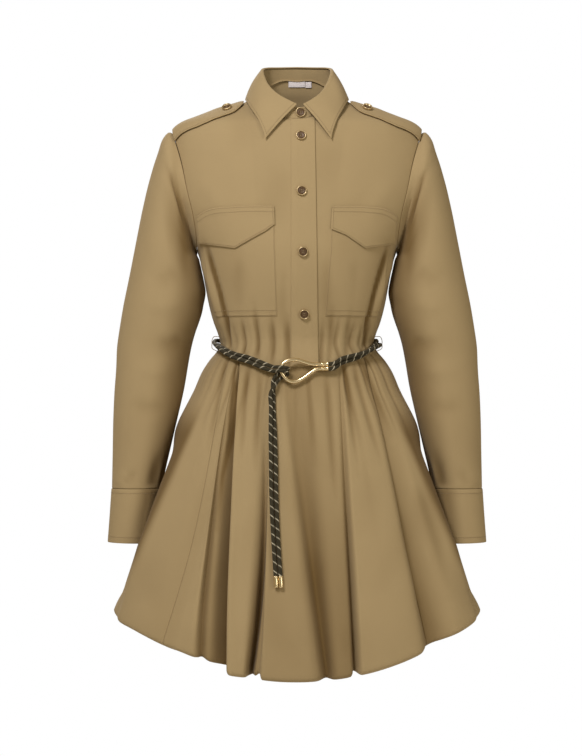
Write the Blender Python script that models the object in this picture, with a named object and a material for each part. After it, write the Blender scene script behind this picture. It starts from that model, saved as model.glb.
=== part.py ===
"""Long-sleeved cotton shirt dress, filled out as if worn, with a gathered bubble skirt and a rope belt.

Sizes are in millimetres and turned into metres when a mesh is made. +X is the wearer's left,
the front faces -Y, +Z is up. The origin lies between the shoulders at the height of the neck points.
"""

import math

import bpy
import numpy as np

MM = 0.001

# ---------------------------------------------------------------- driving sizes
CLOTH = 1.3                 # wall of one cloth piece, seam allowance and all
POCKET_CLOTH = 1.0
FLAP_CLOTH = 1.5
STRAP_CLOTH = 2.2
COLLAR_CLOTH = 1.4
CUFF_CLOTH = 2.0
LABEL_CLOTH = 0.8
SEAM_GAP = 0.3              # space between two pieces that are sewn together
LAYER_GAP = 0.9             # space under a piece that lies on a panel
WAIST_GAP = 0.9             # space at the gathered waist seam, under the belt
STRAP_GAP = 1.4             # space under an epaulette, which bridges the shoulder seam
SHOULDER_TIP = 187.0        # half width over the shoulders
SHOULDER_TIP_Z = -45.0
UNDERARM_Z = -225.0
WAIST_Z = -360.0            # waist seam at the side seams
WAIST_FRONT_DIP = 36.0      # how far the waist seam drops at centre front
WAIST_BACK_DIP = 8.0
HEM_SIDE_Z = -765.0         # lowest point of the hem at the sides
HEM_FRONT_DROP = 82.0       # how much lower the hem is at centre front
HEM_BACK_DROP = 74.0
HEM_ROLL = 7.0              # radius of the turned-under hem
NECK_HALF_WIDTH = 70.0      # neck seam seen from above: half width and reach from the middle
NECK_FRONT = 78.0
NECK_BACK = 50.0
PLACKET_SEAM_X = -9.0       # where the placket meets the right front
PLACKET_LEFT_X = (26.0, 31.0)   # free edge of the placket at the neck and at the waist
BUTTON_RADIUS = 7.5
BUTTON_THICK = 3.4
BUTTON_SHANK = 0.5          # thread between a button and the cloth it is sewn to
GATHER_WAVES = 26.0         # gathers round the waist
GATHER_HEIGHT = 1.3
CORD_RADIUS = 3.0
TUBE_RESOLUTION = 2         # eight sides round every cord
BUCKLE_TUBE = 2.5

# Horizontal sections of the dress, from the back neck to the hem.
SECTION_COLUMNS = ("height", "half_width", "front", "back", "squareness")
SECTIONS = np.array((
    (45, 57, 10, 49, 2.3),
    (39, 58, 12, 50, 2.3),
    (28, 62, 16, 52, 2.3),
    (18, 66, 20, 54, 2.3),
    (8, 70, 26, 58, 2.2),
    (0, 82, 34, 61, 2.1),
    (-5, 98, 40, 63, 2.0),
    (-10, 116, 47, 66, 2.0),
    (-17, 134, 58, 69, 2.0),
    (-24, 152, 68, 72, 2.0),
    (-30, 168, 76, 75, 2.0),
    (-45, 187, 84, 80, 2.0),
    (-60, 190.5, 89, 84, 2.05),
    (-95, 193, 98, 91, 2.1),
    (-133, 190, 105, 96, 2.15),
    (-174, 177, 111, 98, 2.2),
    (-200, 164, 114, 98, 2.2),
    (-225, 149, 116, 97, 2.25),
    (-250, 142, 114, 95, 2.3),
    (-278, 136.5, 109, 91, 2.3),
    (-310, 130, 101, 86, 2.3),
    (-330, 124.5, 96, 83, 2.25),
    (-345, 119, 92.5, 81, 2.2),
    (-354, 116.3, 91, 80, 2.2),
    (-363, 115.5, 91, 80, 2.2),
    (-371, 119.5, 92, 82, 2.15),
    (-385, 131, 95, 87, 2.1),
    (-400, 141, 99, 92, 2.1),
    (-430, 154.5, 107, 102, 2.1),
    (-475, 177, 120, 118, 2.1),
    (-540, 200, 136, 136, 2.1),
    (-600, 220, 150, 151, 2.1),
    (-670, 243, 165, 167, 2.1),
    (-716, 260.5, 174, 176, 2.1),
    (-745, 270.5, 180, 182, 2.1),
    (-765, 277, 184, 186, 2.1),
    (-800, 284, 188, 190, 2.1),
    (-845, 292, 193, 195, 2.1),
))

# The armhole seam on the front and on the back, from the shoulder tip to the underarm.
ARMHOLE_COLUMNS = ("height", "front_x", "back_x")
ARMHOLE = np.array((
    (-45, 187, 187),
    (-57, 182.5, 184),
    (-95, 171, 176),
    (-133, 163, 170),
    (-174, 153.5, 161),
    (-200, 150, 154),
    (-225, 149, 149),
))

# Lines down the skirt that its folds follow. Positions are share of half width at the waist and
# at the hem, out is how far the line stands out (+) or lies in (-) at the hem, start is where
# along the skirt the fold begins, rise lifts the hem there, columns is the mesh columns to the
# next line.
FOLD_COLUMNS = ("waist", "hem", "out", "start", "rise", "columns")
FRONT_FOLDS = (
    (-1.000, -1.000, 0, 0.0, 0, 5),
    (-0.900, -0.900, 2, 0.2, 0, 3),
    (-0.800, -0.685, 0, 0.2, 0, 2),     # panel seam
    (-0.755, -0.500, -4, 0.1, 0, 2),
    (-0.715, -0.405, -15, 0.0, 5, 2),   # wide valley
    (-0.675, -0.355, 7, 0.0, -1, 2),    # sharp edge of the first pleat
    (-0.570, -0.297, 6, 0.0, -1, 2),
    (-0.440, -0.243, -16, 0.2, 8, 2),   # narrow dark valley
    (-0.370, -0.195, 4, 0.1, 0, 3),
    (-0.220, -0.050, 6, 0.1, 0, 3),
    (-0.110, 0.075, 2, 0.0, 0, 2),
    (0.030, 0.150, -11, 0.0, 1, 2),     # middle valley
    (0.180, 0.205, 3, 0.0, 0, 2),
    (0.360, 0.255, 4, 0.1, 0, 2),
    (0.470, 0.292, -9, 0.1, 5, 2),      # thin valley beside the wide panel
    (0.550, 0.345, 7, 0.1, 0, 2),
    (0.700, 0.540, 4, 0.1, 0, 3),
    (0.800, 0.685, -13, 0.0, 1, 2),     # panel seam, down in a soft valley
    (0.880, 0.830, 4, 0.1, 0, 4),
    (1.000, 1.000, 0, 0.0, 0, 1),
)
BACK_FOLDS = (
    (1.000, 1.000, 0, 0.0, 0, 4),
    (0.900, 0.850, 4, 0.1, 0, 2),
    (0.800, 0.690, -11, 0.1, 4, 2),     # panel seam
    (0.690, 0.560, 6, 0.1, 0, 2),
    (0.560, 0.430, -12, 0.0, 5, 2),
    (0.430, 0.320, 6, 0.1, 0, 2),
    (0.310, 0.200, -9, 0.2, 3, 2),
    (0.160, 0.080, 6, 0.1, 0, 2),
    (0.020, -0.030, -13, 0.0, 6, 2),
    (-0.120, -0.150, 6, 0.1, 0, 2),
    (-0.260, -0.270, -8, 0.2, 3, 2),
    (-0.400, -0.370, 6, 0.1, 0, 2),
    (-0.560, -0.500, -12, 0.0, 5, 2),
    (-0.690, -0.600, 5, 0.1, 0, 2),
    (-0.800, -0.690, -9, 0.1, 3, 2),    # panel seam
    (-0.900, -0.850, 3, 0.1, 0, 4),
    (-1.000, -1.000, 0, 0.0, 0, 1),
)

# Sleeve sections from the first ring past the armhole seam to the cuff seam: the ends of each
# ring towards the body and away from it, its half depth, and how far forward its middle lies.
SLEEVE_COLUMNS = ("inner_x", "inner_z", "outer_x", "outer_z", "half_depth", "forward")
SLEEVE_SECTIONS = np.array((
    (150.6, -228, 194.5, -46.5, 54, 1),
    (150.2, -232, 203, -56, 59, 2),
    (148.0, -240, 212, -80, 62, 3),
    (145.5, -251, 221, -116, 63, 3),
    (142.2, -266, 231, -158, 62, 3),
    (139.3, -284, 240, -203, 61, 3),
    (141.0, -308, 250, -254, 60, 2),
    (151.5, -346, 261, -308, 58, 1),
    (161.5, -388, 269, -362, 55, 0),
    (170.0, -432, 273, -418, 52, 0),
    (181.5, -482, 275.5, -474, 48, 0),
    (192.5, -530, 276.5, -528, 43, 0),
    (202.5, -577, 277.5, -577, 38, 0),
))
CUFF_SECTIONS = np.array((
    (201.7, -577.3, 278.3, -577.3, 39.0, 0),
    (206.5, -618.0, 281.0, -617.5, 38.5, 0),
    (212.0, -659.0, 284.0, -657.5, 37.5, 0),
))

# How deep the arm presses into the side of the skirt, by height.
ARM_HOLLOW_COLUMNS = ("height", "depth")
ARM_HOLLOW = np.array((
    (-400, 0), (-450, 0), (-475, 1.5), (-490, 5), (-530, 17), (-577, 27), (-620, 36), (-662, 42),
    (-695, 33), (-725, 14), (-752, 0),
))
ARM_HOLLOW_HALF = 47.0      # half the hollow's width, front to back
ARM_HOLLOW_LIP = (62.0, 18.0, 0.24)     # place, half width and share of depth of its raised lips

# Colour (linear), roughness and metallic value of each finish.
FINISHES = {
    "cotton": ((0.35, 0.25, 0.125), 0.85, 0.0),
    "label": ((0.80, 0.76, 0.70), 0.7, 0.0),
    "cord": ((0.045, 0.045, 0.025), 0.8, 0.0),
    "thread": ((0.45, 0.34, 0.19), 0.8, 0.0),
    "brass": ((0.72, 0.50, 0.20), 0.25, 1.0),
    "horn": ((0.16, 0.09, 0.04), 0.35, 0.2),
}


# ---------------------------------------------------------------- curves and sections
def spline(knots, values, at):
    """Smooth curve through values at increasing knots (Hermite), straight beyond both ends."""
    knots = np.asarray(knots, float)
    values = np.asarray(values, float)
    at = np.asarray(at, float)
    shape = (-1,) + (1,) * (values.ndim - 1)
    step = np.diff(knots)
    rise = np.diff(values, axis=0) / step.reshape(shape)
    slope = np.empty_like(values)
    slope[0] = rise[0]
    slope[-1] = rise[-1]
    weight = (step[:-1] / (step[:-1] + step[1:])).reshape(shape)
    slope[1:-1] = rise[:-1] * (1 - weight) + rise[1:] * weight
    held = np.clip(at, knots[0], knots[-1])
    k = np.clip(np.searchsorted(knots, held, side="right") - 1, 0, len(knots) - 2)
    wide = at.shape + (1,) * (values.ndim - 1)
    t = ((held - knots[k]) / step[k]).reshape(wide)
    span = step[k].reshape(wide)
    curve = (
        values[k] * (1 + 2 * t) * (1 - t) ** 2
        + slope[k] * span * t * (1 - t) ** 2
        + values[k + 1] * t ** 2 * (3 - 2 * t)
        - slope[k + 1] * span * t ** 2 * (1 - t)
    )
    beyond = (at - held).reshape(wide)
    return curve + beyond * np.where(beyond < 0, slope[0], slope[-1])


def read_column(table, columns, name, at):
    """Value of one named column of a table whose first column is a falling height."""
    rows = np.asarray(table, float)[::-1]
    return spline(rows[:, 0], rows[:, columns.index(name)], at)


def column(table, names, name):
    """One named column of a table."""
    place = names.index(name)
    return np.array([row[place] for row in table], float)


def section(name, z):
    return read_column(SECTIONS, SECTION_COLUMNS, name, z)


def smooth_step(value):
    value = np.clip(value, 0.0, 1.0)
    return value * value * (3 - 2 * value)


def unit(vectors):
    return vectors / np.linalg.norm(vectors, axis=-1, keepdims=True)


def lengths_along(points):
    """Distance of each point of a line from its start."""
    steps = np.linalg.norm(np.diff(points[:, :3], axis=0), axis=1)
    return np.concatenate(((0.0,), np.cumsum(steps)))


def waist_gathers(psi):
    """Small uneven waves that the gathering thread makes at the waist, in millimetres: none
    under the placket (0.09 is its bearing) and at the side seams, where the carriers are."""
    deep = 0.75 + 0.25 * np.sin(3.0 * psi + 0.6)
    from_placket = np.abs(np.arctan2(np.sin(psi - 0.09), np.cos(psi - 0.09)))
    here = smooth_step((from_placket - 0.20) / 0.15) * smooth_step(np.abs(np.cos(psi)) / 0.35)
    wave = np.cos(GATHER_WAVES * psi + 0.9 * np.sin(2.0 * psi))
    return GATHER_HEIGHT * deep * here * wave


def bodice_gathers(psi, z):
    """The waves run up from the waist and die out below the pocket bottoms."""
    return waist_gathers(psi) * smooth_step((-300.0 - z) / 55.0)


def plan_normal(psi, half, depth):
    """Level outward direction at psi of a section of this half width and depth."""
    return unit(np.stack((np.sin(psi) / half, -np.cos(psi) / depth), axis=-1))


def form_point(psi, z, lift=0.0, gathers=True):
    """Point of the bodice's outer face. psi is 0 at centre front, 90 degrees at the left side
    and 180 at centre back: x = half_width sin(psi), y from the squared-off ellipse."""
    psi, z = np.broadcast_arrays(np.asarray(psi, float), np.asarray(z, float))
    half = section("half_width", z)
    depth = np.where(np.cos(psi) > 0, section("front", z), section("back", z))
    power = section("squareness", z)
    share = np.clip(np.abs(np.sin(psi)), 0, 1)
    y = -np.sign(np.cos(psi)) * depth * (1 - share ** power) ** (1 / power)
    x = half * np.sin(psi)
    plan = plan_normal(psi, half, depth)
    out = lift + (bodice_gathers(psi, z) if gathers else 0.0)
    return np.stack((x + plan[..., 0] * out, y + plan[..., 1] * out, z), axis=-1)


def form_normal(psi, z):
    """Outward unit normal of the bodice, from small steps round and down the surface."""
    turn = 0.004
    drop = 0.4
    across = form_point(psi + turn, z) - form_point(psi - turn, z)
    upward = form_point(psi, z + drop) - form_point(psi, z - drop)
    return unit(np.cross(across, upward))


def angle_at(x, z, back=False):
    """psi of the point at x on the front (or back) of the bodice at height z."""
    share = np.clip(x / section("half_width", z), -0.999999, 0.999999)
    psi = np.arcsin(share)
    return np.pi - psi if back else psi


def waist_height(psi):
    """Height of the waist seam: level at the sides, lower at centre front."""
    dip = np.where(np.cos(psi) > 0, WAIST_FRONT_DIP, WAIST_BACK_DIP)
    return WAIST_Z - dip * np.abs(np.cos(psi)) ** 2.0


# ---------------------------------------------------------------- meshes
def finished(piece, finish):
    """Link a piece to the scene and give it its own material."""
    bpy.context.scene.collection.objects.link(piece)
    colour, roughness, metallic = FINISHES[finish]
    material = bpy.data.materials.new(piece.name + "_" + finish)
    material.use_nodes = True
    shader = material.node_tree.nodes["Principled BSDF"]
    shader.inputs["Base Color"].default_value = (*colour, 1.0)
    shader.inputs["Roughness"].default_value = roughness
    shader.inputs["Metallic"].default_value = metallic
    material.diffuse_color = (*colour, 1.0)
    piece.data.materials.append(material)
    return piece


def make_object(name, vertices, faces, finish, sharp_degrees=50):
    mesh = bpy.data.meshes.new(name)
    mesh.from_pydata((np.asarray(vertices) * MM).tolist(), [], faces)
    mesh.update()
    mesh.shade_smooth()
    mesh.set_sharp_from_angle(angle=math.radians(sharp_degrees))
    return finished(bpy.data.objects.new(name, mesh), finish)


def grid_normals(points, closed=False):
    """Unit normals of a grid of points from the differences along its rows and columns."""
    if closed:
        across = np.roll(points, -1, axis=1) - np.roll(points, 1, axis=1)
    else:
        across = np.gradient(points, axis=1)
    down = np.gradient(points, axis=0)
    return unit(np.cross(down, across))


def shell(name, outer, normals, thickness, finish="cotton", closed=False):
    """Closed wall between a grid of outer points and the same grid moved in along the normals.
    Rows run down and columns run round; closed joins the last column to the first."""
    rows, columns = outer.shape[:2]
    inner = outer - normals * thickness
    vertices = np.concatenate((outer.reshape(-1, 3), inner.reshape(-1, 3)))
    base = rows * columns

    def at(row, column, layer=0):
        return layer * base + row * columns + column % columns

    spans = columns if closed else columns - 1
    faces = []
    for r in range(rows - 1):
        for c in range(spans):
            faces.append((at(r, c), at(r + 1, c), at(r + 1, c + 1), at(r, c + 1)))
            faces.append((at(r, c, 1), at(r, c + 1, 1), at(r + 1, c + 1, 1), at(r + 1, c, 1)))
    last = rows - 1
    for c in range(spans):
        faces.append((at(0, c), at(0, c + 1), at(0, c + 1, 1), at(0, c, 1)))
        faces.append((at(last, c + 1), at(last, c), at(last, c, 1), at(last, c + 1, 1)))
    if not closed:
        end = columns - 1
        for r in range(rows - 1):
            faces.append((at(r + 1, 0), at(r, 0), at(r, 0, 1), at(r + 1, 0, 1)))
            faces.append((at(r, end), at(r + 1, end), at(r + 1, end, 1), at(r, end, 1)))
    facing = np.cross(
        outer[1:, :-1] - outer[:-1, :-1], outer[:-1, 1:] - outer[:-1, :-1]
    )
    if np.sum(facing * normals[:-1, :-1]) < 0:
        faces = [tuple(reversed(face)) for face in faces]
    return make_object(name, vertices, faces, finish)


def tube(name, route, radius, finish, squeeze=None):
    """Round cord or rod: a bevelled curve with filled ends through the route's points. squeeze
    is the share of the radius left at each point."""
    curve = bpy.data.curves.new(name, "CURVE")
    curve.dimensions = "3D"
    curve.bevel_depth = radius * MM
    curve.bevel_resolution = TUBE_RESOLUTION
    curve.use_fill_caps = True
    line = curve.splines.new("POLY")
    line.points.add(len(route) - 1)
    squeeze = np.ones(len(route)) if squeeze is None else squeeze
    for point, place, share in zip(line.points, np.asarray(route) * MM, squeeze):
        point.co = (*place, 1.0)
        point.radius = share
    return finished(bpy.data.objects.new(name, curve), finish)


def along_route(points, step):
    """Points every `step` millimetres on the smooth curve through hand-chosen route points."""
    points = np.asarray(points, float)
    knots = lengths_along(points)
    fine = spline(knots, points, np.linspace(0, knots[-1], 40 * len(points)))
    length = lengths_along(fine)
    count = max(int(round(length[-1] / step)), 2) + 1
    at = np.linspace(0, length[-1], count)
    return np.stack([np.interp(at, length, fine[:, k]) for k in range(points.shape[1])], axis=-1)


def turned(name, profile, centre, axis, finish, sides=16):
    """Solid of revolution: profile rows are (radius, height) from the bottom pole to the top."""
    axis = unit(np.asarray(axis, float))
    side = unit(np.cross(axis, (0.02, 0.03, 1.0)))
    other = np.cross(axis, side)
    vertices = []
    for radius, height in profile[1:-1]:
        for k in range(sides):
            angle = 2 * math.pi * k / sides
            spoke = side * math.cos(angle) + other * math.sin(angle)
            vertices.append(centre + spoke * radius + axis * height)
    vertices.append(centre + axis * profile[0][1])
    vertices.append(centre + axis * profile[-1][1])
    rings = len(profile) - 2
    bottom = rings * sides
    faces = []
    for k in range(sides):
        after = (k + 1) % sides
        faces.append((bottom, after, k))
        faces.append((bottom + 1, (rings - 1) * sides + k, (rings - 1) * sides + after))
        for r in range(rings - 1):
            faces.append((
                r * sides + k, r * sides + after, (r + 1) * sides + after, (r + 1) * sides + k,
            ))
    return make_object(name, vertices, faces, finish, 35)


# ---------------------------------------------------------------- neck line
def section_reach(theta, z):
    """Distance from the middle of a section to its edge in the direction theta."""
    depth = np.where(np.cos(theta) > 0, section("front", z), section("back", z))
    power = section("squareness", z)
    across = np.abs(np.sin(theta)) / section("half_width", z)
    along = np.abs(np.cos(theta)) / depth
    return (across ** power + along ** power) ** (-1 / power)


def neck_point(theta):
    """Point of the neck seam: an oval seen from above, laid on the form. theta is 0 at centre
    front and 90 degrees at the wearer's left."""
    theta = np.atleast_1d(theta)
    depth = np.where(np.cos(theta) > 0, NECK_FRONT, NECK_BACK)
    radius = 1 / np.hypot(np.sin(theta) / NECK_HALF_WIDTH, np.cos(theta) / depth)
    heights = np.linspace(45.0, -60.0, 300)
    reach = section_reach(theta[:, None], heights[None, :])
    z = np.array([np.interp(r, row, heights) for r, row in zip(radius, reach)])
    return np.stack((radius * np.sin(theta), -radius * np.cos(theta), z), axis=-1)


def top_height(x, back):
    """Height of a bodice panel's upper edge above x: neck seam first, then shoulder seam."""
    start, end = (math.pi, math.pi / 2) if back else (0.0, math.pi / 2)
    theta = np.linspace(start, end, 60)
    neck = neck_point(theta)
    x = np.abs(x)
    on_neck = np.interp(x, neck[:, 0], neck[:, 2])
    heights = np.linspace(neck[-1, 2], SHOULDER_TIP_Z, 80)
    on_shoulder = np.interp(x, section("half_width", heights), heights)
    return np.where(x < neck[-1, 0], on_neck, on_shoulder)


# ---------------------------------------------------------------- bodice
# How far down each mesh row of a bodice panel lies; the first ten meet the armhole seam.
ROW_FALLS = np.array((
    0, 0.004, 0.014, 0.04, 0.09, 0.17, 0.30, 0.43, 0.52, 0.5715, 0.68, 0.79, 0.88, 0.945, 1.0,
))
ARMHOLE_ROWS = 10
# Where mesh columns meet the neck seam, in degrees round it, and the shoulder seam, in x.
FRONT_NECK_COLUMNS = (12, 25, 38, 52, 68)
BACK_NECK_COLUMNS = (165, 150, 135, 117)
SHOULDER_COLUMNS = (70, 76, 84, 100, 118, 136, 152, 166, 177, 184, 187)


def side_limit(z, back):
    """x of the armhole seam, and of the side seam below the underarm."""
    seam = read_column(ARMHOLE, ARMHOLE_COLUMNS, "back_x" if back else "front_x", z)
    half = section("half_width", z)
    limit = np.where(z > UNDERARM_Z, np.minimum(seam, half), half)
    return np.where(z > SHOULDER_TIP_Z, SHOULDER_TIP, limit) * 0.9999985


def bodice_grid(top_x, edge_x, back=False):
    """(psi, z) of a panel whose columns start at top_x on the upper edge and keep their share
    of the width from edge_x to the armhole and side seam all the way down."""
    edge = 1.0 if back else np.sign(top_x[-1] + top_x[0])
    share = (top_x - edge_x) / (edge * SHOULDER_TIP - edge_x)
    z_top = top_height(top_x, back)
    bottom = np.full_like(z_top, WAIST_Z)
    for _ in range(4):
        limit = side_limit(bottom, back) * edge
        x_bottom = edge_x + share * (limit - edge_x)
        bottom = waist_height(angle_at(x_bottom, bottom, back))
    z = z_top + (bottom - z_top) * ROW_FALLS[:, None]
    limit = side_limit(z, back) * edge
    x = edge_x + share * (limit - edge_x)
    psi = angle_at(x, z, back)
    return psi, z


def bodice_panel(name, psi, z):
    return shell(name, form_point(psi, z), form_normal(psi, z), CLOTH)


def half_columns(neck_columns):
    """Top positions of half a panel's columns, close together towards the armhole."""
    on_neck = neck_point(np.radians(neck_columns))[:, 0]
    return np.concatenate((on_neck, SHOULDER_COLUMNS))


def build_bodice():
    front = half_columns(FRONT_NECK_COLUMNS)
    right = np.concatenate((-front[::-1], (PLACKET_SEAM_X,)))
    psi, z = bodice_grid(right, PLACKET_SEAM_X)
    bodice_panel("front_right", psi, z)
    left_edge = PLACKET_SEAM_X + SEAM_GAP
    left = np.concatenate(((left_edge,), front))
    psi, z = bodice_grid(left, left_edge)
    bodice_panel("front_left", psi, z)
    back = half_columns(BACK_NECK_COLUMNS)
    psi, z = bodice_grid(np.concatenate((-back[::-1], (0.0,), back)), 0.0, back=True)
    bodice_panel("back", psi, z)


def patch(name, x, z, lift, thickness=CLOTH, finish="cotton", back=False):
    """A piece that lies on the bodice: grids of x and z, held lift above the panel under it."""
    psi = angle_at(x, z, back)
    normals = form_normal(psi, z)
    outer = form_point(psi, z) + normals * (lift + thickness)
    return shell(name, outer, normals, thickness, finish)


def build_placket():
    """A straight band over the front edges, from just under the collar stand to the waist."""
    top_x = np.linspace(PLACKET_SEAM_X - 1.0, PLACKET_LEFT_X[0], 4)
    low_x = np.linspace(PLACKET_SEAM_X - 1.0, PLACKET_LEFT_X[1], 4)
    top = top_height(top_x, False) - 0.4
    bottom = waist_height(angle_at(low_x, WAIST_Z - WAIST_FRONT_DIP)) + 0.6
    z = top + (bottom - top) * ROW_FALLS[:, None]
    x = top_x + (low_x - top_x) * ROW_FALLS[:, None]
    patch("placket", x, z, LAYER_GAP)


# The patch pockets: share of the front's width at their two edges, and heights; the flaps: share
# of the width, upper and lower edge. Shares run from the placket seam (0) to the armhole (1).
POCKET_SHARES = {"right": (0.165, 0.93), "left": (0.365, 0.93)}
POCKET_HEIGHTS = (-171.0, -190.0, -209.0, -229.0, -254.0, -288.0, -322.0)
FLAP_COLUMNS = ("share", "top", "bottom")
FLAPS = {
    "right": (
        (0.165, -161, -188), (0.26, -160.5, -198), (0.58, -161, -222), (0.86, -166, -215),
        (0.965, -174, -212),
    ),
    "left": (
        (0.365, -161, -195), (0.50, -160.5, -203), (0.68, -161, -222), (0.88, -166, -216),
        (0.965, -174, -212),
    ),
}


def shares_between(first, last):
    """The front panel's own column shares between two edges, with the edges themselves."""
    columns = half_columns(FRONT_NECK_COLUMNS)
    panel = (columns - PLACKET_SEAM_X) / (SHOULDER_TIP - PLACKET_SEAM_X)
    inside = panel[(panel > first + 0.02) & (panel < last - 0.012)]
    return np.concatenate(((first,), inside, (last,)))


def on_front(side, share, z):
    """x at a share of the front's width, on the wearer's right (-1) or left (1)."""
    return PLACKET_SEAM_X + share * (side * side_limit(z, False) - PLACKET_SEAM_X)


def build_pockets():
    for side, word in ((-1, "right"), (1, "left")):
        shares = shares_between(*POCKET_SHARES[word])[None, :]
        z = np.array(POCKET_HEIGHTS)[:, None] + 0 * shares
        patch("pocket_" + word, on_front(side, shares, z), z, LAYER_GAP, POCKET_CLOTH)
        place, top, bottom = (column(FLAPS[word], FLAP_COLUMNS, name) for name in FLAP_COLUMNS)
        shares = shares_between(place[0], place[-1])[None, :]
        top = np.interp(shares, place, top)
        bottom = np.interp(shares, place, bottom)
        z = top + (bottom - top) * np.linspace(0, 1, 5)[:, None]
        over_pocket = 2 * LAYER_GAP + POCKET_CLOTH + 0.1
        patch("flap_" + word, on_front(side, shares, z), z, over_pocket, FLAP_CLOTH)


# ---------------------------------------------------------------- epaulettes
# A strap over the shoulder: its edges measured over the shoulder from the ridge, forward
# positive, at its distance from the pointed neck end (share of its length).
EPAULETTE_COLUMNS = ("share", "front_edge", "back_edge")
EPAULETTE = np.array((
    (0.0, 25.0, 13.0),
    (0.06, 38.0, 5.0),
    (0.12, 47.5, 1.0),
    (0.20, 51.0, -0.5),
    (0.37, 52.0, -1.0),
    (0.54, 51.0, -1.5),
    (0.69, 48.5, -2.5),
    (0.82, 45.0, -4.5),
    (0.925, 42.0, -6.5),
    (1.0, 40.5, -7.5),
))
EPAULETTE_NECK_X = 79.0
EPAULETTE_ROWS = 8
EPAULETTE_BUTTON = (103.0, 33.0)        # distance from the middle and forward of the ridge


def over_shoulder(x, reach):
    """(psi, z) of the point that lies `reach` forward of the shoulder ridge, over the cloth."""
    heights = np.linspace(10.0, -90.0, 600)
    half = section("half_width", heights)
    on_form = heights[half >= abs(x)]
    back = reach < 0
    psi = angle_at(x, on_form, back)
    line = form_point(psi, on_form, gathers=False)
    length = lengths_along(line)
    return np.interp(abs(reach), length, psi), np.interp(abs(reach), length, on_form)


def epaulette_grid(side):
    """The strap from the collar to just short of the armhole seam, which bows in front."""
    share, front_edge, back_edge = (
        column(EPAULETTE, EPAULETTE_COLUMNS, name) for name in EPAULETTE_COLUMNS
    )
    across = np.linspace(0, 1, EPAULETTE_ROWS)[:, None]
    reach = back_edge + (front_edge - back_edge) * across
    bow = 4.5 * (np.maximum(reach, 0.0) / front_edge[-1]) ** 2
    x = EPAULETTE_NECK_X + (SHOULDER_TIP - 2.0 - bow - EPAULETTE_NECK_X) * share
    psi = np.zeros_like(x)
    z = np.zeros_like(x)
    for place in np.ndindex(x.shape):
        psi[place], z[place] = over_shoulder(side * x[place], reach[place])
    return psi, z


def build_epaulettes():
    for side, word in ((-1, "right"), (1, "left")):
        psi, z = epaulette_grid(side)
        normals = form_normal(psi, z)
        outer = form_point(psi, z) + normals * (STRAP_GAP + STRAP_CLOTH)
        shell("epaulette_" + word, outer, normals, STRAP_CLOTH)


# ---------------------------------------------------------------- collar
# The collar's fold and outer edge round the neck; theta is 0 at centre front.
COLLAR_COLUMNS = ("theta", "fold_z", "fold_x", "fold_y", "edge_x", "edge_y", "edge_z")
COLLAR = np.array((
    (0, -9.5, 5.0, -74.5, 48.5, -92, -61),
    (10, -5.5, 13, -71.5, 50, -90, -53),
    (28, 6, 30, -59, 57, -81, -34),
    (50, 23, 44, -38, 67, -60, -16),
    (72, 40, 51, -17, 74, -36, -3),
    (95, 50, 52, 5, 78, -5, 5),
    (120, 55, 46, 27, 73, 30, 9),
    (150, 57, 27, 41, 48, 58, 14),
    (180, 58, 0, 46, 0, 70, 16),
))
COLLAR_SHIFT = 4.2          # the closed collar's ends lie this far to the wearer's left
ROLL_REACH = 2.6            # half width of the leaf's roll over the stand, and its height
ROLL_RISE = 1.6
LEAF_BELLY = 1.5            # how far the falling leaf bulges
STAND_TUCK = 2.2            # how far in the stand's left end lies under its buttoned end


def collar_line(theta, part):
    """The fold or the edge at theta degrees round the neck, negative on the wearer's right."""
    turn = np.abs(theta)
    knots = column(COLLAR, COLLAR_COLUMNS, "theta")
    x, y, z = (
        spline(knots, column(COLLAR, COLLAR_COLUMNS, part + axis), turn)
        for axis in ("_x", "_y", "_z")
    )
    share = 0.4 if part == "edge" else 1.0
    shift = share * COLLAR_SHIFT * (1 - smooth_step(turn / 60.0))
    return np.stack((x * np.sign(theta) + shift, y, z), axis=-1)


def stand_foot(turn):
    """The neck edge of the panels, straight between their mesh columns, at signed degrees."""
    half = np.array(FRONT_NECK_COLUMNS + (90,) + BACK_NECK_COLUMNS[::-1])
    knots = np.concatenate(((-180,), -half[::-1], (-7,), half, (180,)))
    points = neck_point(np.radians(knots))
    return np.stack([np.interp(turn, knots, points[:, axis]) for axis in range(3)], axis=-1)


def build_stand():
    """The stand runs from its covered left end round the back to its buttoned right end."""
    turn = np.concatenate((np.linspace(-368, -6, 36), (2.0, 10.0, 18.0)))
    bearing = np.radians(turn)
    outward = np.stack((np.sin(bearing), -np.cos(bearing), 0 * bearing), axis=-1)
    signed = (turn + 180) % 360 - 180
    low = stand_foot(signed)
    high = collar_line(signed, "fold")
    front = np.abs(signed) < 10
    ends = collar_line(np.array((-10.0, 10.0)), "fold")
    for axis in range(2):
        high[front, axis] = np.interp(signed[front], (-10.0, 10.0), ends[:, axis])
    up = np.array((0.0, 0.0, 1.0))
    under = STAND_TUCK * smooth_step((-325.0 - turn) / 20.0)[:, None]
    low = low - outward * (0.4 + under) + up * 0.8
    below_roll = 1.9 + 2.2 * (1 - smooth_step(np.abs(signed) / 45.0))
    high = high + outward * (0.3 - under) - up * below_roll[:, None]
    share = np.linspace(1, 0, 3)[:, None, None]
    wall = low + (high - low) * share
    shell("collar_stand", wall, grid_normals(wall), COLLAR_CLOTH)


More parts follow.
